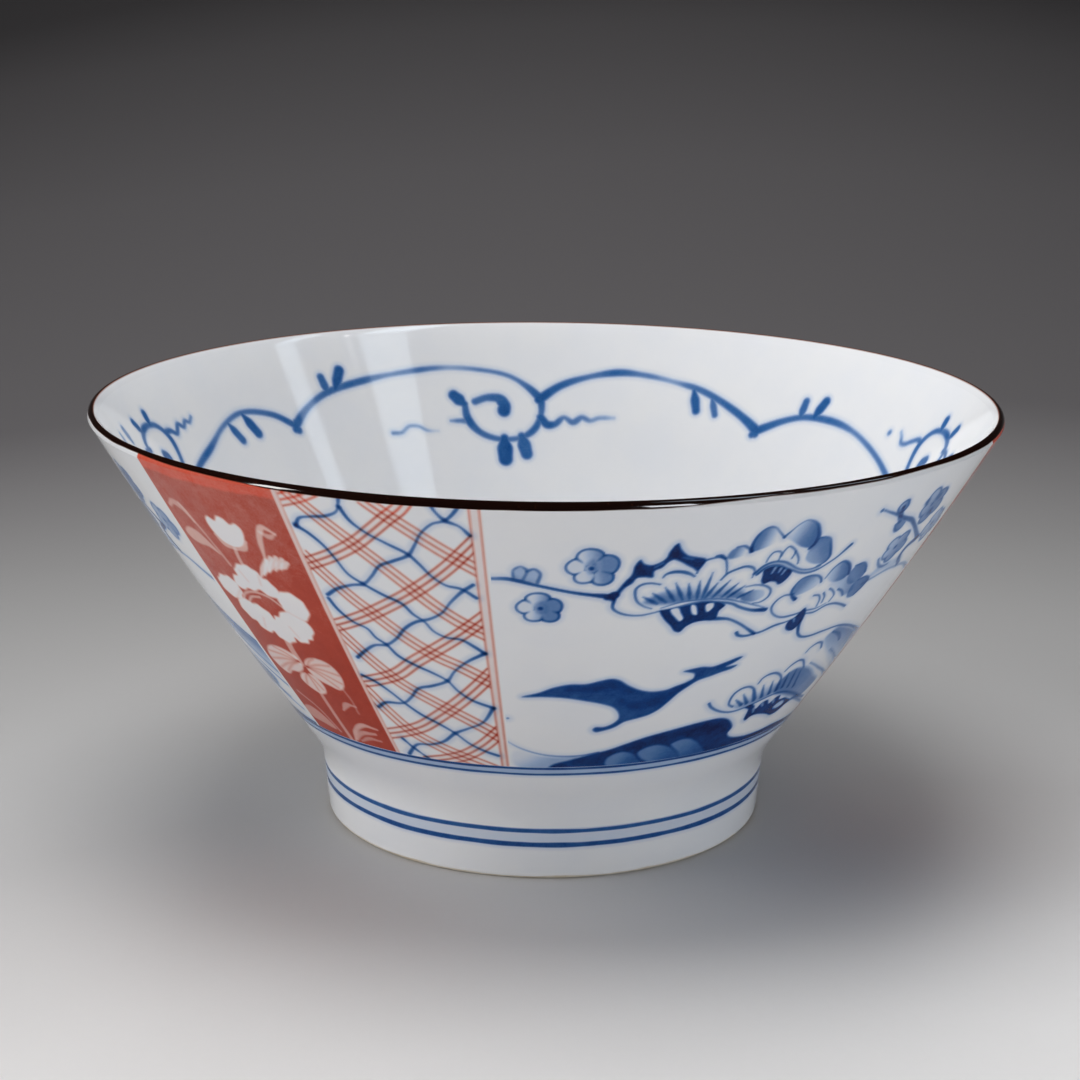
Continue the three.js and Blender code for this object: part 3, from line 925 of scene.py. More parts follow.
def draw_low_pine(brush):
    """The low pine beside the water, with its dark roots."""
    brush.wash([
        (19, 34.4), (21.6, 36.4), (25, 35.6), (29, 32.6), (33, 28), (37, 23), (34, 20.6), (30, 21.8),
        (26.4, 24.6), (22.4, 27.8), (19.4, 29.8),
    ], (0.54, 0.4), ((22, 33), (33, 24)), soft=1.6)
    brush.wash(
        [(7, 31), (9.6, 34), (13, 34.6), (18, 34.2), (20, 31), (14, 29.2), (9.6, 29.2)], (0.4, 0.05),
        ((14, 29.6), (12.6, 34.2)), soft=1.6,
    )
    for lobe in (
        [(7.8, 30.4), (6.45, 31.55), (6.1, 33.4), (6.5, 35.2), (7.8, 36.25), (9.7, 36.2), (11.3, 35),
         (12.45, 33.2), (13.6, 30.9)],
        [(12, 36.4), (12.45, 37.8), (13.8, 38.5), (15.7, 38.2), (17.5, 36.9), (18.7, 35.2), (19.4, 32.6)],
        [(18.8, 37.4), (19.8, 38.7), (21.7, 39.4), (23.3, 38.7), (24.4, 37.1), (25.4, 35.2)],
    ):
        brush.line(lobe, [0.5, 0.7, 0.6, 0.45], [0.55, 0.6, 0.6, 0.5], soft=0.6)
    for tip, base in (
        ((7.8, 32.6), (10.1, 30.2)), ((9.2, 33.9), (11.5, 30.2)), ((11.4, 34.6), (13.3, 30.4)),
        ((14, 35), (15.3, 30.6)), ((16.4, 35.2), (17.3, 30.8)), ((18.6, 34.6), (19.2, 30.8)),
        ((20.6, 36), (21, 31)), ((22.8, 36), (23.2, 30)), ((24.8, 34.6), (25.6, 28.6)),
    ):
        brush.line([tip, base], [0.4, 0.7, 0.9], [0.42, 0.56, 0.62], soft=0.6)
    brush.line([
        (0.9, 33.5), (1.8, 32.2), (3.7, 30.6), (6, 29.3), (8.3, 28.6), (12, 28.7), (16, 29.4), (19.6, 29.6),
        (23, 28.4), (27, 25.6), (31, 22), (36, 17.6),
    ], [0.7, 0.55, 0.55, 0.6, 0.8, 0.9], [0.66, 0.58, 0.56, 0.58, 0.5, 0.4], soft=0.6)
    brush.wash([
        (11.8, 28.6), (13.1, 27.4), (13.3, 25.4), (13.4, 24), (14.2, 23.3), (15, 24), (16.2, 24.2),
        (18.4, 23.4), (20.8, 22), (22.6, 20.6), (24.6, 20.4), (26.2, 21.3), (27.6, 22.8), (26.4, 24),
        (24.6, 25.4), (22.6, 26), (22.2, 27.6), (20.8, 27.7), (19.4, 26.4), (18.2, 28.2), (16.6, 28),
        (15.6, 26.6), (14.4, 28.2), (13.4, 29),
    ], 0.92, soft=0.6)
    brush.reserve(
        [(22, 23.6), (23.2, 24.6), (24.8, 24.4), (25.5, 23.2), (24.4, 22.4), (22.8, 22.7)], 0.78, soft=0.8,
    )
    for notch in ([(16.9, 27.6), (17.5, 26.6)], [(20.4, 27), (21, 25.8)], [(14.9, 27), (15.3, 25.6)]):
        brush.scratch(notch, [0.8, 0.5], 0.55, soft=0.7)
    brush.line([(27, 22.4), (29.4, 22.2), (33, 19), (38, 14)], [1.2, 0.9, 0.7], [0.6, 0.42, 0.34], soft=0.9)


def draw_crane(brush):
    """The crane in flight, one full brush of blue with its feathers faintly streaked."""
    brush.wash([
        (-38.8, 33.8), (-36, 36.1), (-33.8, 38.3), (-31, 40), (-27.7, 40.8), (-25.2, 42.2), (-23.2, 43),
        (-21.6, 42.7), (-19.3, 41.2), (-16.6, 39.9), (-13.8, 39.3), (-11, 39.7), (-9, 40.8), (-7.1, 41.7),
        (-6, 42.8), (-6.3, 44.2), (-7.7, 44.8), (-8.9, 45.2), (-7.1, 45.8), (-4.9, 46.1), (-2.7, 45.8),
        (0.1, 46.7), (2.9, 47.6), (3.6, 47.4), (1.8, 45.8), (0.7, 45.2), (3.2, 45), (2.3, 44.2), (0.1, 43.6),
        (-2.1, 42.8), (-4.6, 41.9), (-6, 40.6), (-7.7, 38.6), (-9, 36.1), (-10.4, 33.6), (-12.1, 31.9),
        (-14.3, 30.8), (-16.6, 29.7), (-18.2, 27.8), (-19.9, 26.7), (-21.6, 26), (-22.4, 26.7),
        (-22.1, 27.5), (-20.4, 27.8), (-19, 28.9), (-18.2, 30.6), (-18.8, 32.5), (-20.4, 34.2),
        (-23.2, 35.1), (-27.1, 35.6), (-31, 35.7), (-34.9, 35),
    ], 0.83, soft=0.85)
    for points, width, depth in (
        ([(-31, 38.2), (-26, 39.6), (-22.6, 41.4), (-18.6, 39.4)], [1.0, 2.2, 1.6], 0.34),
        ([(-19.4, 36.4), (-15.6, 35), (-12.4, 35.8), (-9.6, 38.4), (-6.4, 41.6)], [1.4, 2.6, 2.0, 1.2],
         0.36),
    ):
        brush.line(points, width, depth, soft=1.6)
    for points in (
        [(-29, 36.4), (-27.4, 38.6)], [(-25.4, 36), (-24, 38.4)], [(-22, 35.6), (-20.8, 37.8)],
        [(-16.6, 31.2), (-15, 33.4)],
    ):
        brush.scratch(points, [1.2, 0.5], 0.05, soft=1.4)


def draw_near_shore(brush):
    """The dark shore along the bottom, with paler stones and the water's edge."""
    brush.wash([
        (-35, 12), (-35.6, 16), (-33, 16.6), (-30.4, 16.2), (-26.6, 16.4), (-22.7, 17.3), (-25, 12),
        (-31, 10),
    ], (0.06, 0.3), ((-33, 16.6), (-28, 13)), soft=1.6)
    brush.line([
        (-39, 19.4), (-37.1, 18.3), (-34.3, 17.2), (-30.4, 16.6), (-26.6, 16.8), (-22.7, 17.7), (-19, 19.3),
    ], [0.35, 0.45, 0.5, 0.6], [0.26, 0.36, 0.42, 0.55])
    brush.wash([
        (-27.4, 12.8), (-23.8, 16.1), (-21, 18.1), (-17.1, 20.3), (-13.8, 22.5), (-10.4, 24.4), (-7.1, 25.6),
        (-2.7, 26.8), (1.8, 27.5), (5.7, 27.4), (8.3, 26.2), (10.1, 24.2), (11, 22.3), (10.6, 20.5),
        (11.4, 19.2), (13.4, 17.9), (17.1, 16.6), (21.7, 15.6), (26.3, 14.8), (32, 12.6), (42, 7), (36, 2),
        (0, 8), (-24, 6),
    ], 0.92, soft=0.85)
    brush.wash([
        (-20, 16.4), (-14, 21), (-7, 24.4), (1, 26), (7, 25), (9, 21.4), (5, 21.6), (0, 23.4), (-6, 22.6),
        (-12, 20),
    ], (0.3, 0.66), ((-12, 20), (4, 22)), soft=2.2)
    for stone, fade in (
        ([(-16.6, 17), (-15.7, 18.6), (-13.8, 19.6), (-11.6, 18.9), (-9.9, 17.2), (-9, 15.6), (-16, 15)],
         ((-15.6, 18), (-10, 16))),
        ([(-10.4, 19.2), (-9.3, 20.6), (-7.1, 21.4), (-4.3, 20.6), (-2.1, 18.9), (0.1, 16.7), (-3, 15.2),
          (-7.1, 15.8)], ((-9, 20), (-1.4, 16.4))),
        ([(-3.5, 21.1), (-2.1, 22.1), (0.1, 22.2), (2.3, 20.8), (4.6, 18.3), (6.4, 15.8), (0.7, 15.6),
          (-0.4, 17.5), (-2.7, 20)], ((-2.4, 21.4), (4.6, 16.6))),
    ):
        brush.reserve(stone, (0.46, 0.16), 0.9, fade)
    brush.dot((-39.6, 26.1), 0.3, 0.5)


def draw_right_sprig(brush):
    """A blossoming sprig at the picture's right, and the mist line under it."""
    brush.dot((24.1, 82.6), 0.55, 0.6)
    brush.line([
        (25, 82.3), (26.8, 81.2), (29.1, 79.8), (31.8, 78), (34.5, 76.2), (37.3, 74.4), (39.5, 72.1),
        (41.8, 69.4), (44.1, 66.6), (45.9, 64.4),
    ], [0.6, 0.7, 0.9, 1.2, 1.0, 1.1, 1.4], [0.5, 0.62, 0.74, 0.74, 0.66, 0.72], soft=0.7)
    brush.blossom(
        [(31, 81.1, 1.7)], (31.2, 80.7), ((29.8, 81.4), (32, 80.6)), (0.3, 0.54), depth=0.56, soft=0.8,
    )
    brush.wash(
        [(31.6, 76.2), (33.4, 76.6), (34.8, 75), (34, 73.4), (32.4, 73.4)], (0.6, 0.44),
        ((32.2, 74), (34.2, 75.6)),
    )
    brush.line([(31.2, 80.4), (31.6, 78.4), (32.6, 76)], [0.9, 1.5, 1.0], [0.5, 0.62, 0.5], soft=0.8)
    brush.line(
        [(31.4, 75.8), (31.9, 74.2), (33, 73.2), (34.4, 73.6), (34.9, 74.8)], [0.6, 0.7, 0.45], 0.5,
        soft=0.7,
    )
    brush.blossom(
        [(42.6, 78.2, 2.5), (45.6, 76.7, 2.6), (41.8, 75, 2.2), (46, 73.6, 2.4), (43.6, 72.6, 2.4)],
        (43.6, 75.6), ((41, 78), (46, 74)), (0.3, 0.5), depth=0.46, soft=1.0,
    )
    for patch, size in (((40.5, 77.8), 0.9), ((45, 77.1), 1.2), ((44.5, 73), 1.1)):
        brush.dot(patch, size, 0.5, soft=1.4)
    brush.blossom(
        [(35.2, 68.3, 2.2), (37.8, 68.4, 2.3), (34.8, 66, 2.1), (38.4, 66, 2.2), (36.5, 64.8, 2.2)],
        (36.6, 66.8), ((34, 68), (38.6, 66)), (0.24, 0.46), depth=0.46, soft=0.9,
    )
    brush.line(
        [(31.9, 65.6), (32.7, 63.9), (34, 62.4), (35.5, 61.6), (37.2, 61.4)], [0.7, 0.9, 0.5], 0.5, soft=0.8,
    )
    brush.line(
        [(46, 64.2), (44.4, 64), (42.7, 63.5), (41.7, 61.8), (42, 60.2), (43.2, 58)], [1.8, 1.5, 1.3, 1.4],
        [0.76, 0.74, 0.6], soft=0.9,
    )
    brush.blossom(
        [(50.6, 68, 2.2), (53, 66.4, 2.2), (53.4, 63.6, 2.2), (50.8, 62.6, 2.2), (49, 65.2, 2.2)],
        (51, 65.4), ((49.4, 66), (54, 64)), (0.28, 0.4), depth=0.3, soft=1.2,
    )
    brush.line([
        (30.4, 59), (33.6, 59.1), (38.2, 58.9), (42.7, 57.5), (47.3, 55.3), (51.8, 51.2), (57, 46.4),
        (61, 42.6),
    ], [0.7, 0.9, 1.2, 1.3], [0.44, 0.34, 0.42, 0.42], soft=1.0)
    brush.wash([(31.4, 60), (36, 60), (41, 58.8), (43, 60), (38, 62.2), (33, 62)], 0.18, soft=1.8)


def draw_picture(brush):
    """The pine, plum and crane picture."""
    brush.paint = "cobalt"
    for draw in (
        draw_plum_twig, draw_old_trunk, draw_great_fan, draw_fan_stems, draw_upper_cloud_pine,
        draw_right_pine, draw_far_hill, draw_low_pine, draw_crane, draw_near_shore, draw_right_sprig,
    ):
        draw(brush)


def edge_of_panel(turn):
    """A straight line up the wall at an angle from the drawing's axis, as its two ends."""
    angle = math.radians(turn)
    ends = (OUTER_APEX + EDGE_LINE_FROM, OUTER_APEX + EDGE_LINE_TO)
    return [(reach * math.sin(angle), reach * math.cos(angle) - OUTER_APEX) for reach in ends]


def scalloped(outline, bulge):
    """A petal's outline with a small lobe between each two of its points."""
    points = np.asarray(outline, dtype=float)
    onward = np.roll(points, -1, axis=0) - points
    across = np.stack([onward[:, 1], -onward[:, 0]], axis=1) / np.linalg.norm(onward, axis=1)[:, None]
    middle = points + onward / 2.0
    outward = np.sign(np.sum(across * (middle - points.mean(axis=0)), axis=1))
    lobes = middle + across * (outward * bulge)[:, None]
    return np.stack([points, lobes], axis=1).reshape(-1, 2)


def draw_red_panel(brush):
    """Iron red laid over the panel round a peony and its leaves, which are left white."""
    brush.paint = "iron_red"
    brush.band(RED_LEFT_TURN, RED_RIGHT_TURN, (0.74, 0.86), ((-12, 84), (8, 30)))
    brush.band(RED_RIGHT_TURN, RED_STRIP_TURN, (0.16, 0.22), ((0, 90), (0, 20)))
    brush.reserve([
        (-5, 79.4), (-3.8, 80.7), (-2, 80), (-0.5, 81.5), (1.2, 81.2), (2.5, 80), (4.2, 80.5), (5.3, 79.2),
        (4.6, 76.4), (2.8, 74.2), (0, 73.3), (-2.8, 74), (-4.6, 76.4),
    ], 0.97, PEONY_SOFT)
    for sepal in ([(-4.6, 75.6), (-3, 73.4), (-0.4, 72.8)], [(4.6, 75.8), (3, 73.6), (0.2, 72.8)]):
        brush.scratch(sepal, [0.7, 1.2, 0.6], 0.55, soft=0.7)
    brush.scratch([(-0.3, 73), (-0.8, 70.5), (-0.9, 67.5)], 1.1, 0.5, soft=0.7)
    for leaf, width, share in (
        ([(-17, 79.6), (-14.8, 81.2), (-12.2, 80.4), (-10.2, 77.4)], [1.0, 2.0, 1.0], 0.4),
        ([(-12.4, 81.6), (-9.4, 76.4), (-6.6, 70), (-5.6, 67)], [0.8, 0.8, 0.9], 0.35),
        ([(7, 68.6), (8.2, 74), (9.8, 78.4), (11.8, 80.8), (14.4, 79.4)], [0.6, 0.8, 1.4, 1.6, 0.6], 0.6),
        ([(10.4, 79.4), (12.4, 78.4), (14.2, 79.2)], [0.8, 1.4, 0.6], 0.45),
    ):
        brush.scratch(leaf, width, share, soft=0.8)
    brush.reserve([
        (-16.6, 72.6), (-14.6, 74.5), (-11.4, 74.4), (-9, 72.4), (-7, 69.4), (-10, 70.6), (-13, 70.4),
        (-15.6, 71),
    ], 0.52, PEONY_SOFT)
    for base, tip in (
        ((3, 66), (7.6, 71.4)), ((4.6, 67), (9.4, 72.4)), ((6.6, 68.2), (11, 72.7)),
        ((8.8, 69), (12.4, 72.4)), ((10.6, 69.6), (13.2, 71.6)),
    ):
        brush.scratch([base, tip], [0.6, 1.6, 1.2], 0.78, soft=0.8)
    for petal in (
        [(-7, 60.4), (-7.4, 62.8), (-5.2, 64.4), (-4.2, 66.9), (-1.4, 68.3), (1.4, 67.9), (3, 65.8),
         (5, 64.5), (5.6, 61.6), (4, 60.3), (0, 61.7), (-4, 61)],
        [(-15, 58.6), (-13.8, 61), (-11, 62.3), (-8.4, 62), (-7.4, 60), (-8.2, 57.6), (-10.4, 55.9),
         (-13.6, 56.2)],
        [(4.2, 58.4), (5, 61.4), (7.4, 62.8), (10.2, 62), (11.4, 59.2), (10.2, 56), (7.6, 54.8), (5.4, 56)],
        [(-11.6, 54.2), (-9.6, 56.3), (-6, 56.2), (-3, 55.6), (-1, 53.2), (1, 54.4), (4, 56.6), (7, 55.8),
         (9.4, 53.4), (8.2, 50.4), (6.4, 49), (4.6, 47.7), (2.2, 48.6), (0.6, 46.8), (-2, 46.7), (-4, 48.6),
         (-7, 48), (-8.6, 50), (-11, 51.4)],
    ):
        brush.reserve(scalloped(petal, PETAL_LOBE), 0.97, PEONY_SOFT)
    for arch in (
        [(-9, 55.8), (-6.4, 58.8), (-2.4, 60.4), (1.6, 60), (4.4, 57.6)],
        [(-7, 56), (-4.6, 58.4), (-1.6, 59.2)],
    ):
        brush.scratch(arch, 0.6, 0.55, soft=0.7)
    for vein in (
        [(-7.4, 59.6), (-9.4, 57.6), (-11.6, 55.4)], [(5, 56.8), (7, 55.6), (9.4, 54.6)],
        [(-3.4, 66.2), (-2.4, 63.4)], [(2.2, 66), (1.4, 63.4)], [(-6.4, 49.2), (-5, 52.2)],
        [(3.6, 49), (2.6, 51.8)],
    ):
        brush.line(vein, 0.5, 0.12, soft=1.0)
    brush.scratch([(-1.3, 46.6), (-1.5, 44), (-1.4, 40)], 1.9, 0.52, soft=0.8)
    leaves = (
        ([(-1.5, 41.6), (-4, 43), (-8, 43), (-11.4, 41.2), (-13, 38.2), (-11.6, 35.2), (-9, 34),
          (-6.6, 35.8), (-4, 36.4), (-1.6, 38.4)], (-1.8, 40.4),
         ((-11.8, 40), (-12.2, 37.4), (-10.8, 35.2), (-8.6, 35), (-8.6, 42.4))),
        ([(0, 40.4), (2, 42.4), (5, 43.2), (8, 42.2), (9.3, 39), (8.4, 35.6), (6.4, 34), (4, 34.8),
          (2, 35.6), (0, 37.6)], (0.2, 39.4),
         ((7.6, 41.6), (8.8, 39), (8.2, 36.4), (6.4, 34.8), (3.8, 42.8))),
        ([(-3.4, 36.4), (-5, 34), (-3.6, 32), (-1, 30.8), (1.1, 31.6), (1.9, 34), (0.6, 36.8)], (-1.4, 37),
         ((-3.8, 33), (-1, 31.4), (0.8, 32.6))),
    )
    for outline, stem, tips in leaves:
        brush.reserve(outline, 0.8, PEONY_SOFT)
        for tip in tips:
            middle = ((stem[0] + tip[0]) / 2.0, (stem[1] + tip[1]) / 2.0 + 0.5)
            brush.line([stem, middle, tip], 0.55, 0.34, soft=0.9)
    for stem, width, share in (
        ([(-1, 31), (-0.9, 24), (-0.5, 15.6)], 1.2, 0.45), ([(-10.6, 27.6), (-6, 24.4), (-3, 18)], 0.9, 0.3),
        ([(3.4, 27), (5.8, 29.4), (8, 29.2)], [0.6, 1.6, 0.5], 0.45),
        ([(7.4, 35), (8, 31), (7.6, 27)], 0.7, 0.25),
        ([(0.6, 16), (3.2, 20.6), (6.6, 23), (10, 22.4)], [0.6, 1.2, 1.4, 0.6], 0.55),
        ([(1.6, 17), (4.6, 20), (8.6, 20.6)], [0.6, 1.4, 0.8], 0.45),
        ([(3, 17), (6, 18.6), (9, 18.4)], [0.6, 1.2, 0.6], 0.35),
    ):
        brush.scratch(stem, width, share, soft=0.8)
    brush.reserve([(-13, 21.4), (-9.4, 23.6), (-6, 22), (-4, 18.2), (-8, 18.6), (-12, 19)], 0.4, PEONY_SOFT)


def triple_line(brush, points, depth):
    """Three thin lines side by side over a trace of their own red."""
    line = flowing_line(points)
    run = np.gradient(line, axis=0)
    across = np.stack([-run[:, 1], run[:, 0]], axis=1) / np.linalg.norm(run, axis=1)[:, None]
    brush.line(points, 3.4, 0.08, soft=1.4)
    for offset, width in ((-1.45, 0.42), (0.0, 0.48), (1.45, 0.42)):
        side = line + across * offset
        knots = np.vstack([side[:-1:5], side[-1:]])
        brush.line(knots, [width, width * 1.15, width], [depth, depth * 0.82, depth], soft=0.65)


def draw_net_panel(brush):
    """Red triple lines woven into a lattice, with blue waves across it and red borders."""
    brush.paint = "iron_red"
    for points in (
        [(-22, 88), (-20.2, 88.9), (-16.5, 90.7), (-12, 93.5)],
        [(-20, 71.6), (-18.4, 72.5), (-12, 76.6), (-5.6, 81.6), (-0.2, 87), (3.9, 90.7), (6.5, 94)],
        [(-18.4, 54.2), (-16.5, 55.3), (-10.2, 59.4), (-2.9, 64.8), (3.5, 69.8), (10.7, 76.2), (17.6, 83.4)],
        [(-16.6, 37.4), (-14.7, 38.5), (-7.5, 42.5), (-0.2, 49.4), (7.1, 55.3), (15.6, 62.8)],
        [(-14.6, 21), (-12.9, 22), (-5.6, 26.2), (0.7, 32), (7.1, 38.5), (14, 46.4)],
        [(-6, 14.8), (-3, 16), (2.5, 18.5), (8, 23), (12.4, 28)],
    ):
        triple_line(brush, points, 0.74)
    for points in (
        [(-19.6, 92.6), (-16.5, 89.4), (-4.7, 78), (2.5, 69.8), (8, 63), (15.6, 56.4)],
        [(-19.4, 74.8), (-17.9, 73), (-11, 64.8), (-6.5, 60.3), (1.6, 52), (8, 47.5), (14.2, 42)],
        [(-17.2, 54), (-15.6, 52), (-7.5, 42), (1.6, 34.8), (8, 29.4), (12.6, 24.4)],
        [(-15.6, 36.6), (-13.8, 33.9), (-8.4, 25.7), (-1.1, 20.3), (5.3, 16.6), (9, 14)],
        [(-2.6, 92.6), (-0.6, 90.7), (5.3, 85.3), (11.6, 79.4), (17.4, 74.2)],
    ):
        triple_line(brush, points, 0.66)
    brush.clear_beyond(NET_LEFT_TURN, NET_RIGHT_TURN)
    brush.band(NET_STRIP_TURN, NET_LEFT_TURN, (0.2, 0.22), ((0, 90), (0, 20)))
    brush.band(NET_RIGHT_TURN, NET_EDGE_TURN, (0.08, 0.12), ((0, 90), (0, 20)))
    brush.line(edge_of_panel(NET_LEFT_TURN), 0.4, 0.22)
    for turn, depth in ((NET_RIGHT_TURN, 0.48), (NET_EDGE_TURN, 0.5)):
        brush.line(edge_of_panel(turn), [0.46, 0.4], depth, soft=0.6)
    brush.paint = "cobalt"
    for wave in (
        [(-18.8, 82.5), (-17.5, 84.8), (-14.7, 85.9), (-11.5, 86.8), (-8.8, 88.5), (-7.9, 90.7), (-7.4, 93)],
        [(-18.8, 82.5), (-16.5, 81.2), (-13.8, 78.5), (-12, 75.3), (-10.2, 71.6), (-7.5, 69.5), (-3.8, 67.1),
         (-0.6, 65.3), (1.2, 62.5), (3, 60.7), (4.4, 58), (6.6, 56.4), (9.4, 55.9), (11.6, 53.9),
         (13.3, 51.9)],
        [(-7.9, 89.8), (-6.5, 86.6), (-3.8, 83.9), (-0.2, 81.6), (3.5, 79.2), (5.3, 76.6), (7.1, 73.5),
         (9.4, 71.2), (12.1, 70.3), (14.6, 67.8)],
        [(-16.5, 64.1), (-13.8, 66.6), (-10.2, 68.6), (-7.5, 69.5), (-5.2, 72.1), (-2.9, 75.3), (0.3, 77.1),
         (3.5, 78.9), (5.3, 81.6), (7.1, 84.8), (9.8, 87.4), (12.4, 88.3), (15, 91), (16, 93)],
        [(-16.5, 63), (-15.2, 60.3), (-12.5, 57.5), (-9.7, 56.2), (-8.4, 53.9), (-6.5, 52.3), (-4.7, 49.4),
         (-1.5, 47.1), (1.6, 45.3), (4.2, 43.2), (5.7, 40.3), (8, 37.5), (11.9, 35.1)],
        [(-14.3, 46.2), (-12, 48.9), (-9.3, 51.4), (-6.5, 52.3), (-3.8, 54.8), (-1.5, 58), (1.2, 60.3),
         (4.4, 61.6), (7.1, 63.5), (9.4, 66.6), (12.1, 69.5), (14.6, 71.4)],
        [(-13.4, 30.7), (-11.1, 33), (-7, 34.1), (-4.7, 36.6), (-2.5, 39.8), (0.7, 41.2), (4.2, 43.2),
         (6.2, 46.2), (9.4, 49.4), (13.3, 51.9)],
        [(-14.7, 40.5), (-12, 39.4), (-9.3, 37.1), (-6.5, 33.9), (-3.8, 31.2), (-0.6, 28.9), (2.4, 26.2),
         (4.8, 23), (7.5, 20.7), (10, 19.2)],
        [(-9.9, 16), (-9.3, 17.1), (-7, 20.3), (-3.8, 21.2), (-0.6, 23), (2.4, 26.2), (5.3, 28), (8.9, 30.3),
         (11.9, 35)],
        [(-10.2, 21.2), (-8.4, 18.9), (-5.6, 16)],
        [(10.2, 93), (10.9, 90.6), (12.4, 88.3), (14.8, 86.8), (16.4, 84.4)],
    ):
        brush.line(wave, [0.85, 0.6, 0.75, 0.55, 0.8], [0.76, 0.62, 0.7, 0.58, 0.74], soft=0.75)
    for knot, size in (
        ((-18.7, 82.6), 0.75), ((-7.6, 69.5), 0.6), ((3.6, 79), 0.5), ((12.4, 88.3), 0.6),
        ((13.2, 51.9), 0.6), ((4.2, 43.2), 0.5), ((2.4, 26.2), 0.55), ((11.8, 35), 0.6), ((-6.6, 52.3), 0.5),
        ((-8, 89.8), 0.5),
    ):
        brush.dot(knot, size, 0.5, soft=0.9)


def scroll_lines(brush, lines):
    """Long strokes of the scroll, which doesn't darken where one meets another."""
    brush.pools = False
    for points, widths, depths in lines:
        brush.line(points, widths, depths, soft=SCROLL_SOFT)


def scroll_leaves(brush, leaves):
    """Short fat touches of the brush that leave an arc of the scroll."""
    brush.pools = False
    for base, tip, widths, depth in leaves:
        brush.line([base, tip], widths, depth, soft=SCROLL_SOFT)


def draw_hanging_spiral(brush):
    """One unit of the scroll inside: two long arcs that meet at a spiral hanging from them."""
    scroll_lines(brush, (
        ([(-69, 53.6), (-66, 59), (-60, 65.4), (-50, 71), (-40, 75), (-28, 78.2), (-18, 78.6), (-10, 77.4),
          (-5, 74.6), (-1.4, 71.4)], [2.4, 1.6, 1.9, 1.9, 1.3, 1.5, 1.3, 1.2, 1.3, 2.2],
         [0.68, 0.58, 0.64, 0.66, 0.5, 0.6, 0.34, 0.5, 0.5, 0.7]),
        ([(-1.6, 71), (4, 74.8), (12, 77.2), (20, 77.9), (28, 76.3), (36, 73.4), (42, 70.6), (48, 66.2),
          (54, 60.6), (57.6, 56.4)], [2.6, 2.0, 1.5, 2.0, 1.5, 1.3, 1.7, 1.8, 2.0, 2.6],
         [0.74, 0.68, 0.56, 0.66, 0.52, 0.36, 0.6, 0.64, 0.66, 0.72]),
        ([(-1.2, 71.8), (-1, 67.4), (-2.6, 63), (-6, 60.4), (-12, 59.6), (-17.4, 61.2), (-20.6, 64.6),
          (-21.6, 68.6)], [2.2, 1.6, 1.9, 1.5, 1.5, 1.7, 2.2, 1.7],
         [0.72, 0.6, 0.68, 0.56, 0.6, 0.6, 0.7, 0.64]),
        ([(-18.8, 69.6), (-15.6, 70.9), (-12.4, 70.8), (-10.9, 69), (-11, 67.6)], [1.9, 1.9, 2.2, 3.1, 3.5],
         [0.6, 0.64, 0.74]),
        ([(-1.2, 66), (0.6, 64), (2.6, 64.1), (5, 65.9), (7.4, 64.6), (9.8, 65.8), (12, 64.9), (14.4, 65.5),
          (18.4, 65.3)], [2.1, 2.2, 1.7, 1.3, 1.8, 1.5, 1.2, 1.2, 1.0],
         [0.72, 0.7, 0.6, 0.46, 0.54, 0.46, 0.4, 0.34, 0.2]),
        ([(-41, 58), (-38.6, 58.6), (-36.6, 60.6), (-34, 61), (-31.6, 60.2), (-28.6, 60.4)],
         [1.1, 0.9, 0.9, 0.7], [0.52, 0.44, 0.38, 0.12]),
    ))
    scroll_leaves(brush, (
        ((-21.6, 68.6), (-24.6, 70.8), [1.8, 3.3, 2.9], 0.72),
        ((-20.8, 64.1), (-25.2, 63.6), [1.9, 1.3, 0.7], 0.48),
        ((-10.8, 59.8), (-10.4, 54.2), [2.4, 4.2, 3.8], 0.74),
        ((-6.2, 60.6), (-4.8, 55.8), [2.2, 3.6, 3.2], 0.66),
        ((-59.4, 65.4), (-61.6, 69.4), [1.3, 2.4, 2.2], 0.62),
        ((-57.4, 67.2), (-56.4, 72.6), [1.6, 2.8, 2.8], 0.74),
        ((40.2, 70.8), (40.7, 65), [1.2, 2.5, 2.2], 0.7), ((45.2, 67.8), (45.9, 63), [1.0, 1.9, 1.7], 0.6),
        ((57, 57.4), (57.4, 55.4), [1.9, 2.6, 2.2], 0.66),
        ((-68.8, 54.6), (-69, 52.6), [2.2, 2.6, 2.0], 0.66),
    ))


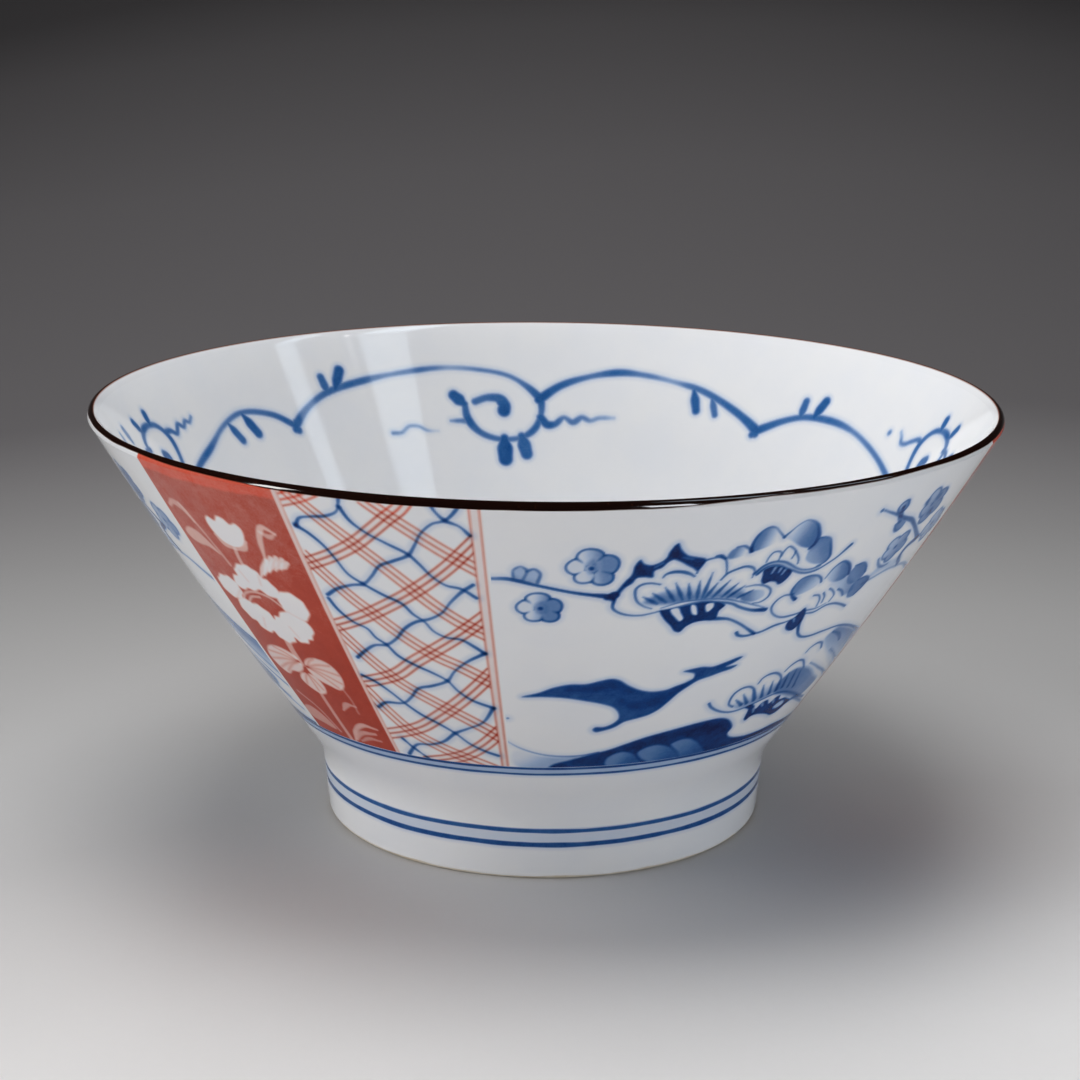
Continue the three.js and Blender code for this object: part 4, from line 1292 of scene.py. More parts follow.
def draw_scroll_ring(brush, side, shift):
    """The ring that stands where two low arcs meet, with its leaves, its middle and its tails."""
    def placed(points):
        return [(side * x + shift, y) for x, y in points]

    for points, widths, depths in (
        ([(0, 62.6), (-3.6, 66), (-6.4, 70.4), (-7.4, 75.1), (-4.8, 79), (0, 80.4), (4.8, 79.6), (7.9, 76.6),
          (7.8, 72.6)], [2.2, 1.6, 1.6, 1.9, 1.6, 1.6, 1.9, 1.7, 1.5],
         [0.66, 0.56, 0.58, 0.66, 0.6, 0.6, 0.66, 0.58, 0.5]),
        ([(5.6, 70.2), (2.6, 68.9), (-0.4, 69.8), (-0.6, 71.8), (0.6, 72.6)], [1.3, 1.6, 1.9, 2.4, 2.6],
         [0.52, 0.62, 0.7]),
    ):
        scroll_lines(brush, [(placed(points), widths, depths)])
    for tail, depths in (
        ([(-7.2, 75.4), (-9.4, 75.6), (-11.8, 74.4), (-14, 73), (-15.8, 72.8), (-17.2, 74), (-18.6, 74.9)],
         [0.6, 0.54, 0.5, 0.44, 0.26]),
        ([(7, 76.8), (9.6, 76.5), (11.8, 75.2), (14.6, 76.8), (16.4, 75.6), (18.4, 76.5), (19.8, 75.8),
          (21.8, 76.6)], [0.64, 0.6, 0.56, 0.5, 0.44]),
    ):
        scroll_lines(brush, [([(x + shift, y) for x, y in tail], TAIL_WIDTHS, depths)])
    for base, tip, widths, depth in (
        ((-1.6, 80.2), (-2.2, 83), [1.3, 2.4, 2.4], 0.68), ((5.2, 79.6), (6.9, 82.6), [1.3, 2.4, 2.3], 0.66),
    ):
        scroll_leaves(brush, [(*placed((base, tip)), widths, depth)])
    brush.dot((shift - 22.8, 73.2), 0.8, 0.46, soft=SCROLL_SOFT)


def draw_right_standing(brush):
    """The scroll's unit at the right: two low arcs under a standing ring."""
    for points in ([
        (-62.8, 54.1), (-57.4, 60.5), (-52.3, 64.4), (-43.8, 67.4), (-36, 68.3), (-28.4, 67.8), (-20, 66.4),
        (-13.8, 64.9), (-5, 62.6), (0, 62),
    ], [(0, 62), (5, 63), (14, 67), (27, 70.5), (41, 69.4), (55, 64), (67, 57), (77, 48.8)]):
        scroll_lines(brush, [(points, ARC_WIDTHS, ARC_DEPTHS)])
    draw_scroll_ring(brush, 1.0, 0.3)
    scroll_leaves(brush, (
        ((-53.8, 63.4), (-55.4, 67.6), [1.3, 2.3, 2.1], 0.64),
        ((-50.1, 65.6), (-49.8, 70.4), [1.6, 2.8, 2.7], 0.72),
        ((44, 68.4), (42.6, 63), [1.2, 2.6, 2.3], 0.7), ((49, 66.4), (48.2, 61.8), [1.0, 2.0, 1.8], 0.62),
        ((-62.4, 54.6), (-63, 52.8), [2.0, 2.4, 2.0], 0.66),
    ))


def draw_left_standing(brush):
    """The scroll's unit at the left: two low arcs under a standing ring."""
    for points in (
        [(-87.3, 42.7), (-76, 53), (-62, 62.4), (-46, 68.6), (-30, 70.2), (-15, 67), (-5, 63), (0, 62)],
        [(0, 62), (4, 63), (10.9, 65.8), (20.9, 67.9), (31, 70.5), (39.5, 70.6), (48.4, 65.8), (52.6, 60.4)],
    ):
        scroll_lines(brush, [(points, ARC_WIDTHS, ARC_DEPTHS)])
    draw_scroll_ring(brush, -1.0, -0.8)
    scroll_leaves(brush, (
        ((39.2, 70.2), (40.2, 64.2), [1.2, 2.9, 2.8], 0.7),
        ((32.6, 70.4), (33.8, 65), [1.0, 2.4, 2.4], 0.64),
        ((-52, 66.8), (-53.6, 71.6), [1.3, 2.3, 2.1], 0.64),
        ((-47, 68.8), (-46.6, 74.2), [1.6, 2.8, 2.7], 0.72),
        ((52.4, 60.6), (52.6, 59), [2.0, 2.6, 2.2], 0.66),
        ((-16.8, 79.2), (-17.6, 82.4), [1.6, 2.6, 2.4], 0.42),
        ((-22.4, 79.4), (-22.8, 81.8), [1.2, 2.0, 1.6], 0.32),
    ))


# Places of the scroll's units round the inside, in degrees
SCROLL_UNITS = (
    (180.0, draw_hanging_spiral),
    (0.0, draw_hanging_spiral),
    (98.7, draw_right_standing),
    (261.2, draw_left_standing),
)

# Wall sections of one repeat: name, start and end, drawing axis and drawing
PANELS = (
    ("red_panel", RED_START, NET_START, RED_AXIS, draw_red_panel),
    ("net_panel", NET_START, PICTURE_START, NET_AXIS, draw_net_panel),
    ("picture_left", PICTURE_START, PICTURE_MIDDLE, PICTURE_AXIS, draw_picture),
    ("picture_right", PICTURE_MIDDLE, PICTURE_END, PICTURE_AXIS, draw_picture),
)


class WallPainter:
    """Works out the paint at each point of a stretch of wall."""

    def __init__(self, profile):
        self.profile = profile
        self.outer_lengths = profile.outer.lengths()
        self.inner_lengths = profile.inner.lengths()

    def places(self, mesh):
        """Each point's turn round the bowl, its height, its radius and whether it is on the outside."""
        spots = points_of(mesh)
        turn = np.degrees(np.arctan2(spots[:, 0], -spots[:, 1]))
        radius = np.hypot(spots[:, 0], spots[:, 1])
        level = spots[:, 2]
        outer = self.profile.outer.at(self.profile.outer_share(level))[:, 0]
        inner = self.profile.inner.at(self.profile.inner_share(level))[:, 0]
        return turn, level, radius, radius > (outer + inner) / 2.0

    @staticmethod
    def lean(turn, axis):
        """Angles from a drawing's axis on the unrolled wall, for turns round the bowl in degrees."""
        return np.radians((turn - axis + HALF_TURN) % FULL_TURN - HALF_TURN) * CONE_SHARE

    def outside(self, mesh, axis, draw):
        """Paint on the outside, from one drawing."""
        turn, level, _, outside = self.places(mesh)
        paints = {name: np.zeros(len(turn)) for name in PAINTS}
        share = self.profile.outer_share(level)
        reach = np.interp(share, *self.outer_lengths) / MM + OUTER_APEX
        lean = self.lean(turn, axis)
        laid = {name: ink[outside] for name, ink in paints.items()}
        across = (reach * np.sin(lean))[outside]
        up = (reach * np.cos(lean))[outside] - OUTER_APEX
        draw(Brush(across, up, laid))
        for name, ink in laid.items():
            paints[name][outside] = ink
        return paints

    def below_lip(self, mesh):
        """Paint on the lip, where the red and net panels run on up to the brown glaze."""
        turn = self.places(mesh)[0]
        paints = {name: np.zeros(len(turn)) for name in PAINTS}
        for _, start, end, axis, draw in PANELS[:2]:
            for shift in (0.0, PANEL_REPEAT, -PANEL_REPEAT):
                within = (turn - start - shift) % FULL_TURN < end - start
                for name, ink in self.outside(mesh, axis + shift, draw).items():
                    paints[name][within] = ink[within]
        return paints

    def inside(self, mesh, paints):
        """Adds the scroll to the paint on the inside."""
        turn, level, _, outside = self.places(mesh)
        within = ~outside
        share = self.profile.inner_share(level[within])
        reach = np.interp(share, *self.inner_lengths) / MM + INNER_APEX
        laid = {"cobalt": np.zeros(int(within.sum()))}
        for axis, draw in SCROLL_UNITS:
            lean = self.lean(turn[within], axis)
            draw(Brush(-reach * np.sin(lean), reach * np.cos(lean) - INNER_APEX, laid))
        paints["cobalt"][within] = laid["cobalt"]

    @staticmethod
    def store(mesh, paints):
        """Keeps the paint on the mesh as one number per point and colour."""
        for name, ink in paints.items():
            layer = mesh.attributes.get(name) or mesh.attributes.new(name, "FLOAT", "POINT")
            layer.data.foreach_set("value", ink.astype(np.float32))

    @staticmethod
    def recall(mesh):
        """The paint kept on a mesh."""
        paints = {}
        for name in PAINTS:
            ink = np.empty(len(mesh.vertices), np.float32)
            mesh.attributes[name].data.foreach_get("value", ink)
            paints[name] = ink.astype(float)
        return paints


def map_wall_section(piece, painter, start, sweep):
    """Lays a wall section's faces side by side on a UV map, the outside largest."""
    mesh = piece.data
    turn, level, radius, _ = painter.places(mesh)
    round_share = np.clip(((turn - start + UV_SLACK) % FULL_TURN - UV_SLACK) / sweep, 0.0, 1.0)
    height_share = (level - WALL_SEAM) / (LIP_SEAM - WALL_SEAM)
    width_share = (radius - radius.min()) / np.ptp(radius)
    corners = np.empty(len(mesh.loops), np.int32)
    mesh.loops.foreach_get("vertex_index", corners)
    counts = np.empty(len(mesh.polygons), np.int32)
    mesh.polygons.foreach_get("loop_total", counts)
    centres = np.empty(len(mesh.polygons) * 3)
    mesh.polygons.foreach_get("center", centres)
    centres = centres.reshape(-1, 3)
    face_radius = np.hypot(centres[:, 0], centres[:, 1])
    face_level = centres[:, 2]
    profile = painter.profile
    middle = (
        profile.outer.at(profile.outer_share(face_level))[:, 0]
        + profile.inner.at(profile.inner_share(face_level))[:, 0]
    ) / 2.0
    kind = np.where(face_radius > middle, OUTSIDE_FACE, INSIDE_FACE)
    kind[face_level > LIP_SEAM - MERGE_REACH] = TOP_FACE
    kind[face_level < WALL_SEAM + MERGE_REACH] = BOTTOM_FACE
    kind[counts > 4] = END_FACE
    kind = np.repeat(kind, counts)
    across = np.where(kind == END_FACE, height_share[corners], round_share[corners])
    up = np.where(kind >= TOP_FACE, width_share[corners], height_share[corners])
    places = np.array(UV_PLACES)[kind]
    flat = np.empty((len(corners), 2), np.float32)
    flat[:, 0] = places[:, 0] + (places[:, 1] - places[:, 0]) * across
    flat[:, 1] = places[:, 2] + (places[:, 3] - places[:, 2]) * up
    layer = mesh.uv_layers.get(UV_NAME) or mesh.uv_layers.new(name=UV_NAME)
    layer.data.foreach_set("uv", flat.ravel())


class Finish:
    """Builds one procedural material, node by node."""

    def __init__(self, name):
        self.material = bpy.data.materials.new(name)
        self.material.use_nodes = True
        self.tree = self.material.node_tree
        self.shader = self.tree.nodes["Principled BSDF"]
        self.object_place = self.node("ShaderNodeTexCoord").outputs["Object"]

    def node(self, kind, **settings):
        made = self.tree.nodes.new(kind)
        for name, value in settings.items():
            setattr(made, name, value)
        return made

    def feed(self, socket, value):
        if isinstance(value, bpy.types.NodeSocket):
            self.tree.links.new(value, socket)
        else:
            socket.default_value = value

    def sum(self, operation, first, second=0.0, clamp=False):
        made = self.node("ShaderNodeMath", operation=operation, use_clamp=clamp)
        for socket, value in zip(made.inputs, (first, second)):
            self.feed(socket, value)
        return made.outputs[0]

    def noise(self, size, detail, roughness, distortion=0.0):
        """Noise whose features are about a size across, from 0 to 1."""
        made = self.node("ShaderNodeTexNoise")
        self.feed(made.inputs["Vector"], self.object_place)
        made.inputs["Scale"].default_value = 1.0 / size
        made.inputs["Detail"].default_value = detail
        made.inputs["Roughness"].default_value = roughness
        made.inputs["Distortion"].default_value = distortion
        return made.outputs["Fac"]

    def remap(self, value, low, high, to_low, to_high, smooth=True):
        made = self.node("ShaderNodeMapRange", interpolation_type="SMOOTHSTEP" if smooth else "LINEAR")
        self.feed(made.inputs["Value"], value)
        for name, amount in (("From Min", low), ("From Max", high), ("To Min", to_low), ("To Max", to_high)):
            self.feed(made.inputs[name], amount)
        return made.outputs["Result"]

    def clouds(self, size, detail, roughness, span, amounts, smooth=False, distortion=0.0):
        """Noise spread over a range of amounts between two of its own values."""
        return self.remap(self.noise(size, detail, roughness, distortion), *span, *amounts, smooth)

    def ramp(self, value, stops):
        made = self.node("ShaderNodeValToRGB")
        stop_list = made.color_ramp.elements
        while len(stop_list) < len(stops):
            stop_list.new(0.5)
        for stop, (place, shade) in zip(stop_list, stops):
            stop.position = place
            stop.color = (*shade, 1.0)
        self.feed(made.inputs["Fac"], value)
        return made.outputs["Color"]

    def mix(self, blend, amount, first, second):
        made = self.node("ShaderNodeMix", data_type="RGBA", blend_type=blend)
        self.feed(made.inputs["Factor"], amount)
        for socket, value in ((made.inputs[6], first), (made.inputs[7], second)):
            self.feed(socket, value if isinstance(value, bpy.types.NodeSocket) else (*value, 1.0))
        return made.outputs[2]

    def attribute(self, name):
        made = self.node("ShaderNodeAttribute", attribute_name=name)
        return made.outputs["Fac"]

    def radius_and_level(self):
        """Distance from the bowl's axis, and height."""
        parts = self.node("ShaderNodeSeparateXYZ")
        self.feed(parts.inputs[0], self.object_place)
        across, along, level = parts.outputs
        squares = self.sum("ADD", self.sum("POWER", across, 2.0), self.sum("POWER", along, 2.0))
        return self.sum("SQRT", squares), level

    def bump(self, height, distance):
        made = self.node("ShaderNodeBump")
        made.inputs["Distance"].default_value = distance
        self.feed(made.inputs["Height"], height)
        return made.outputs["Normal"]

    def surface(self, base, roughness, normal, specular):
        self.feed(self.shader.inputs["Base Color"], base)
        self.feed(self.shader.inputs["Roughness"], roughness)
        self.shader.inputs["IOR"].default_value = GLAZE_IOR
        self.shader.inputs["Specular IOR Level"].default_value = specular
        if normal is not None:
            self.feed(self.shader.inputs["Normal"], normal)
        return self.material


def porcelain_base(finish, colours):
    """White glazed clay with the faintest cloudiness, and the glaze's shallow unevenness."""
    white = tuple(colours.porcelain)
    cool = (white[0] * 0.965, white[1] * 0.975, white[2] * 0.995)
    cloud = finish.clouds(14.0 * MM, 4.0, 0.5, (0.3, 0.7), (0.0, 1.0), smooth=True)
    base = finish.mix("MIX", cloud, white, cool)
    speck = finish.clouds(0.9 * MM, 2.0, 0.6, (0.74, 0.8), (0.0, 0.10), smooth=True)
    base = finish.mix("MULTIPLY", speck, base, (0.62, 0.56, 0.50))
    fine = finish.sum("MULTIPLY", finish.noise(1.6 * MM, 2.0, 0.5), 0.05)
    glaze = finish.sum("ADD", finish.noise(16.0 * MM, 2.0, 0.5), fine)
    return base, glaze


def with_cobalt(finish, base, ink, colours):
    """Cobalt under the glaze: pooled where the brush was full, cloudy where it ran thin."""
    cloud = finish.clouds(3.4 * MM, 4.0, 0.55, (0.25, 0.75), (0.93, 1.07), distortion=0.3)
    grain = finish.clouds(0.5 * MM, 3.0, 0.6, (0.3, 0.7), (0.97, 1.03))
    depth = finish.sum("MULTIPLY", finish.sum("MULTIPLY", ink, cloud), grain, clamp=True)
    tint = finish.ramp(depth, (
        (0.0, BARE), (0.2, tuple(colours.cobalt_pale)), (0.45, tuple(colours.cobalt_mid)),
        (0.67, tuple(colours.cobalt_line)), (0.86, tuple(colours.cobalt_deep)),
        (1.0, tuple(colours.cobalt_dark)),
    ))
    return finish.mix("MULTIPLY", 1.0, base, tint)


def with_iron_red(finish, base, ink, colours):
    """Iron red over the glaze, streaked by the brush and brighter in a band under the lip, where the
    brighter red is partly painted light.
    """
    cloud = finish.clouds(4.2 * MM, 4.0, 0.6, (0.25, 0.75), (0.93, 1.07), distortion=0.6)
    grain = finish.clouds(0.55 * MM, 3.0, 0.7, (0.25, 0.75), (0.96, 1.04))
    depth = finish.sum("MULTIPLY", finish.sum("MULTIPLY", ink, cloud), grain, clamp=True)
    _, level = finish.radius_and_level()
    wander = finish.clouds(5.0 * MM, 2.0, 0.5, (0.3, 0.7), (-0.25 * MM, 0.25 * MM))
    height = finish.sum("ADD", level, wander)
    # Partly painted light: the band under the lip turns a brighter red
    lit_band_under_lip = finish.remap(height, LIT_RED_BAND_FROM, LIT_RED_BAND_FROM + LIT_RED_BAND_BLEND, 0.0, 1.0)
    tints = []
    for full in (np.array(colours.red_full), np.array(colours.red_bright_and_lit)):
        tints.append(finish.ramp(depth, (
            (0.0, BARE), (0.3, tuple(colours.red_pale)), (0.8, tuple(full)),
            (1.0, tuple(full * RED_LAID_TWICE)),
        )))
    tint = finish.mix("MIX", lit_band_under_lip, tints[0], tints[1])
    return finish.mix("MULTIPLY", 1.0, base, tint)


def with_brown_lip(finish, base, colours, reach_in):
    """Iron-brown glaze from the crest down the outside, its lower edge wandering a little."""
    radius, level = finish.radius_and_level()
    wander = finish.clouds(26.0 * MM, 2.0, 0.5, (0.3, 0.7), (-0.9 * MM, -0.55 * MM))
    parts = finish.node("ShaderNodeSeparateXYZ")
    finish.feed(parts.inputs[0], finish.object_place)
    aside = finish.sum("ABSOLUTE", finish.sum("SUBTRACT", parts.outputs[0], LOW_GLAZE_AT))
    sag = finish.remap(aside, 30.0 * MM, 56.0 * MM, 0.6 * MM, 0.0)
    sag = finish.sum("MULTIPLY", sag, finish.sum("LESS_THAN", parts.outputs[1], 0.0))
    edge = finish.sum("ADD", finish.sum("ADD", level, wander), sag)
    covered = finish.remap(edge, LIP_SEAM - 0.12 * MM, LIP_SEAM + 0.12 * MM, 0.0, 1.0)
    outside = finish.remap(radius, reach_in - 0.18 * MM, reach_in + 0.18 * MM, 0.0, 1.0)
    covered = finish.sum("MULTIPLY", covered, outside)
    thin = finish.remap(edge, LIP_SEAM, LIP_SEAM + 0.2 * MM, 0.4, 0.0)
    inner_thin = finish.remap(radius, reach_in, reach_in + 0.4 * MM, 1.0, 0.0)
    thin = finish.sum("MAXIMUM", thin, inner_thin)
    mottle = finish.clouds(1.4 * MM, 4.0, 0.6, (0.6, 0.85), (0.0, 0.3), smooth=True)
    thin = finish.sum("MAXIMUM", thin, mottle)
    brown = finish.mix("MIX", thin, tuple(colours.brown), tuple(colours.brown_thin))
    return finish.mix("MIX", covered, base, brown)


def ring_line(finish, radius, level, height, width, from_radius, depth):
    """One hand-drawn blue line round the bowl, on the outside only."""
    wobble = finish.clouds(26.0 * MM, 2.0, 0.5, (0.2, 0.8), (-0.16 * MM, 0.16 * MM))
    swell = finish.clouds(11.0 * MM, 2.0, 0.5, (0.25, 0.75), (0.78, 1.2))
    gap = finish.sum("ABSOLUTE", finish.sum("SUBTRACT", finish.sum("ADD", level, wobble), height))
    half = finish.sum("MULTIPLY", swell, width / 2.0)
    inside = finish.sum("SUBTRACT", half, gap)
    cover = finish.remap(inside, -0.2 * MM, 0.2 * MM, 0.0, depth)
    bleed = finish.remap(inside, -1.1 * MM, 0.0, 0.0, LINE_BLEED)
    outside = finish.sum("GREATER_THAN", radius, from_radius)
    return finish.sum("MULTIPLY", finish.sum("MAXIMUM", cover, bleed), outside)


def painted_wall_finish(colours):
    """Painted porcelain of the wall's panels."""
    finish = Finish("painted_glaze")
    base, glaze = porcelain_base(finish, colours)
    base = with_cobalt(finish, base, finish.attribute("cobalt"), colours)
    red = finish.attribute("iron_red")
    base = with_iron_red(finish, base, red, colours)
    rough = finish.clouds(7.0 * MM, 3.0, 0.5, (0.2, 0.8), WALL_ROUGHNESS)
    rough = finish.sum("ADD", rough, finish.sum("MULTIPLY", red, 0.16))
    height = finish.sum("ADD", finish.sum("MULTIPLY", glaze, 0.5), finish.sum("MULTIPLY", red, 0.6))
    return finish.surface(base, rough, finish.bump(height, 0.05 * MM), specular=0.16)


def lined_finish(slot, colours, lines, from_radius, roughness):
    """White porcelain of the neck or the foot, with blue lines round it."""
    finish = Finish(slot)
    base, glaze = porcelain_base(finish, colours)
    radius, level = finish.radius_and_level()
    ink = 0.0
    for height, width, depth in lines:
        drawn = ring_line(finish, radius, level, height * MM, width * MM, from_radius, depth)
        ink = finish.sum("MAXIMUM", ink, drawn)
    base = with_cobalt(finish, base, ink, colours)
    rough = finish.clouds(7.0 * MM, 3.0, 0.5, (0.2, 0.8), roughness)
    return finish.surface(base, rough, finish.bump(glaze, 0.03 * MM), specular=0.3)


def lip_finish(colours, profile):
    """Iron-brown glaze over the lip, with the panels' tops below it and white just inside the crest."""
    finish = Finish("iron_edging")
    base, glaze = porcelain_base(finish, colours)
    crest = (profile.lip_outer[0] + profile.lip_inner[0]) / 2.0
    base = with_cobalt(finish, base, finish.attribute("cobalt"), colours)
    base = with_iron_red(finish, base, finish.attribute("iron_red"), colours)
    base = with_brown_lip(finish, base, colours, crest - 0.25 * MM)
    rough = finish.clouds(3.0 * MM, 3.0, 0.5, (0.2, 0.8), LIP_ROUGHNESS)
    return finish.surface(base, rough, finish.bump(glaze, 0.02 * MM), specular=0.3)


def bare_clay_finish(colours):
    """Unglazed clay, ground smooth and a little stained, with the glaze's edge just above it."""
    finish = Finish("bare_clay")
    clay = tuple(colours.clay)
    stain = finish.clouds(6.0 * MM, 5.0, 0.6, (0.35, 0.7), (0.0, 1.0), smooth=True)
    base = finish.mix("MIX", stain, clay, (clay[0] * 0.88, clay[1] * 0.82, clay[2] * 0.74))
    speck = finish.clouds(0.5 * MM, 2.0, 0.6, (0.68, 0.76), (0.0, 0.6), smooth=True)
    base = finish.mix("MIX", speck, base, (clay[0] * 0.5, clay[1] * 0.42, clay[2] * 0.34))
    _, level = finish.radius_and_level()
    wander = finish.clouds(9.0 * MM, 3.0, 0.5, (0.3, 0.7), (-0.25 * MM, 0.25 * MM))
    glazed = finish.remap(finish.sum("ADD", level, wander), 0.55 * MM, 0.85 * MM, 0.0, 1.0)
    base = finish.mix("MIX", glazed, base, tuple(colours.porcelain))
    grain = finish.noise(0.35 * MM, 4.0, 0.7)
    rough = finish.remap(grain, 0.3, 0.7, 0.7, 0.92, smooth=False)
    rough = finish.sum("SUBTRACT", rough, finish.sum("MULTIPLY", glazed, 0.6))
    return finish.surface(base, rough, finish.bump(grain, 0.04 * MM), specular=0.3)


class BOWL_OT_stage(bpy.types.Operator):
    """Adds the floor with its backdrop, the lamps and the camera"""

    bl_idname = "bowl.stage"
    bl_label = "Stage"

    def execute(self, context):
        look = context.scene.bowl_stage
        self.floor(look)
        self.lamps(look)
        self.world(context, look)
        self.camera(context)
        context.scene.view_settings.view_transform = "Standard"
        return {"FINISHED"}

    @staticmethod
    def floor(look):
        """A pale floor that sweeps up into a darker backdrop far behind, its colour painted lighter round
        the bowl and darker farther out as painted light and shade.
        """
        bpy.ops.object.select_all(action="DESELECT")
        bpy.ops.mesh.primitive_plane_add(size=1.0, location=(0.0, FLOOR_FRONT + FLOOR_DEPTH / 2.0, 0.0))
        floor = bpy.context.object
        floor.name = "studio_floor"
        floor.scale = (FLOOR_WIDTH, FLOOR_DEPTH, 1.0)
        bpy.ops.object.transform_apply(location=True, rotation=False, scale=True)
        bpy.ops.object.mode_set(mode="EDIT")
        bpy.ops.mesh.select_mode(type="EDGE")
        bpy.ops.mesh.select_all(action="DESELECT")
        bpy.ops.object.mode_set(mode="OBJECT")
        back = FLOOR_FRONT + FLOOR_DEPTH
        for edge in floor.data.edges:
            edge.select = all(abs(floor.data.vertices[v].co.y - back) < MM for v in edge.vertices)
        bpy.ops.object.mode_set(mode="EDIT")
        bpy.ops.mesh.extrude_region_move(TRANSFORM_OT_translate={"value": (0.0, 0.0, BACKDROP_HEIGHT)})
        bpy.ops.object.mode_set(mode="OBJECT")
        bend = floor.modifiers.new("sweep", "BEVEL")
        bend.width = SWEEP_RADIUS
        bend.segments = SWEEP_STEPS
        bend.limit_method = "ANGLE"
        bpy.ops.object.modifier_apply(modifier=bend.name)
        bpy.ops.object.shade_smooth()
        finish = Finish("studio_floor")
        # Painted light and shade: the floor's colour is brightest round the bowl and darkens outwards to the
        # backdrop
        painted_falloff_tones = [(place, tuple(np.array(look.floor) * share)) for place, share in PAINTED_LIGHT_POOL_SHADES]
        painted_falloff_tones += [(place, tuple(np.array(look.backdrop) * share)) for place, share in PAINTED_FALLOFF_SHADES]
        middle = finish.node("ShaderNodeVectorMath", operation="DISTANCE")
        finish.feed(middle.inputs[0], finish.object_place)
        middle.inputs[1].default_value = PAINTED_LIGHT_POOL_MIDDLE
        away = finish.sum("MULTIPLY", middle.outputs["Value"], 1.0 / PAINTED_FALLOFF_REACH)
        base = finish.ramp(away, painted_falloff_tones)
        grain = finish.clouds(2.0 * MM, 3.0, 0.6, (0.3, 0.7), (0.0, 0.03), smooth=True)
        base = finish.mix("MULTIPLY", grain, base, (0.8, 0.8, 0.8))
        floor.data.materials.append(finish.surface(base, 0.8, None, specular=0.1))

    @staticmethod
    def lamps(look):
        """Soft lamps that the glaze doesn't mirror, and narrow ones that only show mirrored in it."""
        for name, power, share, turn, rise, away, width, height, tint, mirrored in LAMPS:
            turn, rise = math.radians(turn), math.radians(rise)
            place = (
                away * math.cos(rise) * math.sin(turn), -away * math.cos(rise) * math.cos(turn),
                away * math.sin(rise) + LAMP_AIM,
            )
            bpy.ops.object.select_all(action="DESELECT")
            bpy.ops.object.light_add(type="AREA", location=place)
            lamp = bpy.context.object
            lamp.name = name
            lamp.data.shape = "RECTANGLE"
            lamp.data.energy = getattr(look, power) * share
            lamp.data.size = width
            lamp.data.size_y = height
            lamp.data.color = tint
            lamp.rotation_euler = (math.pi / 2.0 - rise, 0.0, turn)
            lamp.visible_glossy = mirrored
            lamp.visible_diffuse = not mirrored

    @staticmethod
    def world(context, look):
        sky = context.scene.world or bpy.data.worlds.new("studio")
        context.scene.world = sky
        sky.use_nodes = True
        background = sky.node_tree.nodes["Background"]
        background.inputs["Color"].default_value = AMBIENT_TINT
        background.inputs["Strength"].default_value = look.ambient

    @staticmethod
    def camera(context):
        bpy.ops.object.camera_add(location=CAMERA_PLACE)
        camera = bpy.context.object
        camera.name = "photo_camera"
        camera.rotation_mode = "ZYX"
        camera.rotation_euler = (math.radians(90.0 - CAMERA_TILT), 0.0, math.radians(CAMERA_TURN))
        camera.data.sensor_width = SENSOR_WIDTH
        camera.data.lens = LENS
        context.scene.camera = camera


class BOWL_OT_painted_wall(bpy.types.Operator):
    """Turns and paints the wall, one section for each panel and two for each picture"""

    bl_idname = "bowl.painted_wall"
    bl_label = "Painted wall"

    def execute(self, context):
        profile = BowlProfile(context.scene.bowl_shape)
        painter = WallPainter(profile)
        finish = painted_wall_finish(context.scene.bowl_colours)
        for name, start, end, axis, draw in PANELS:
            self.panel(painter, finish, name, start, end - start, axis, draw)
        return {"FINISHED"}

    @staticmethod
    def panel(painter, finish, name, start, sweep, axis, draw):
        """One kind of panel, turned and painted once and copied round the bowl."""
        profile = painter.profile
        outer_start = profile.outer_share(WALL_SEAM)
        scroll_top, scroll_bottom = profile.inner_share(SCROLL_TOP), profile.inner_share(SCROLL_BOTTOM)
        well_end = profile.well_share_at(WALL_SEAM)
        stretches = (
            (profile.outer.between(outer_start, 1.0), OUTSIDE_ROWS),
            (straight(profile.lip_outer, profile.lip_inner), SEAM_ROWS),
            (profile.inner.between(scroll_top, 1.0), LIP_ROWS),
            (profile.inner.between(scroll_bottom, scroll_top), SCROLL_ROWS),
            (profile.inner.between(profile.well_share, scroll_bottom), LOWER_ROWS),
            (profile.well.between(0.0, well_end), WELL_ROWS),
            (straight(profile.well.at(well_end), profile.outer.at(outer_start)), SEAM_ROWS),
        )
        first = turned(f"{name}_1", stretches, start, sweep, round(sweep * COLUMNS_PER_DEGREE))
        map_wall_section(first, painter, start, sweep)
        painter.store(first.data, painter.outside(first.data, axis, draw))
        pieces = [first]
        for index in (1, 2):
            select_only(first)
            bpy.ops.object.duplicate()
            copy = bpy.context.object
            copy.name = f"{name}_{index + 1}"
            copy.data.name = copy.name
            copy.rotation_euler.z = math.radians(PANEL_REPEAT * index)
            bpy.ops.object.transform_apply(location=False, rotation=True, scale=False)
            pieces.append(copy)
        for piece in pieces:
            paints = painter.recall(piece.data)
            painter.inside(piece.data, paints)
            painter.store(piece.data, paints)
            settle(piece, finish, "painted_glaze", "flared_wall")


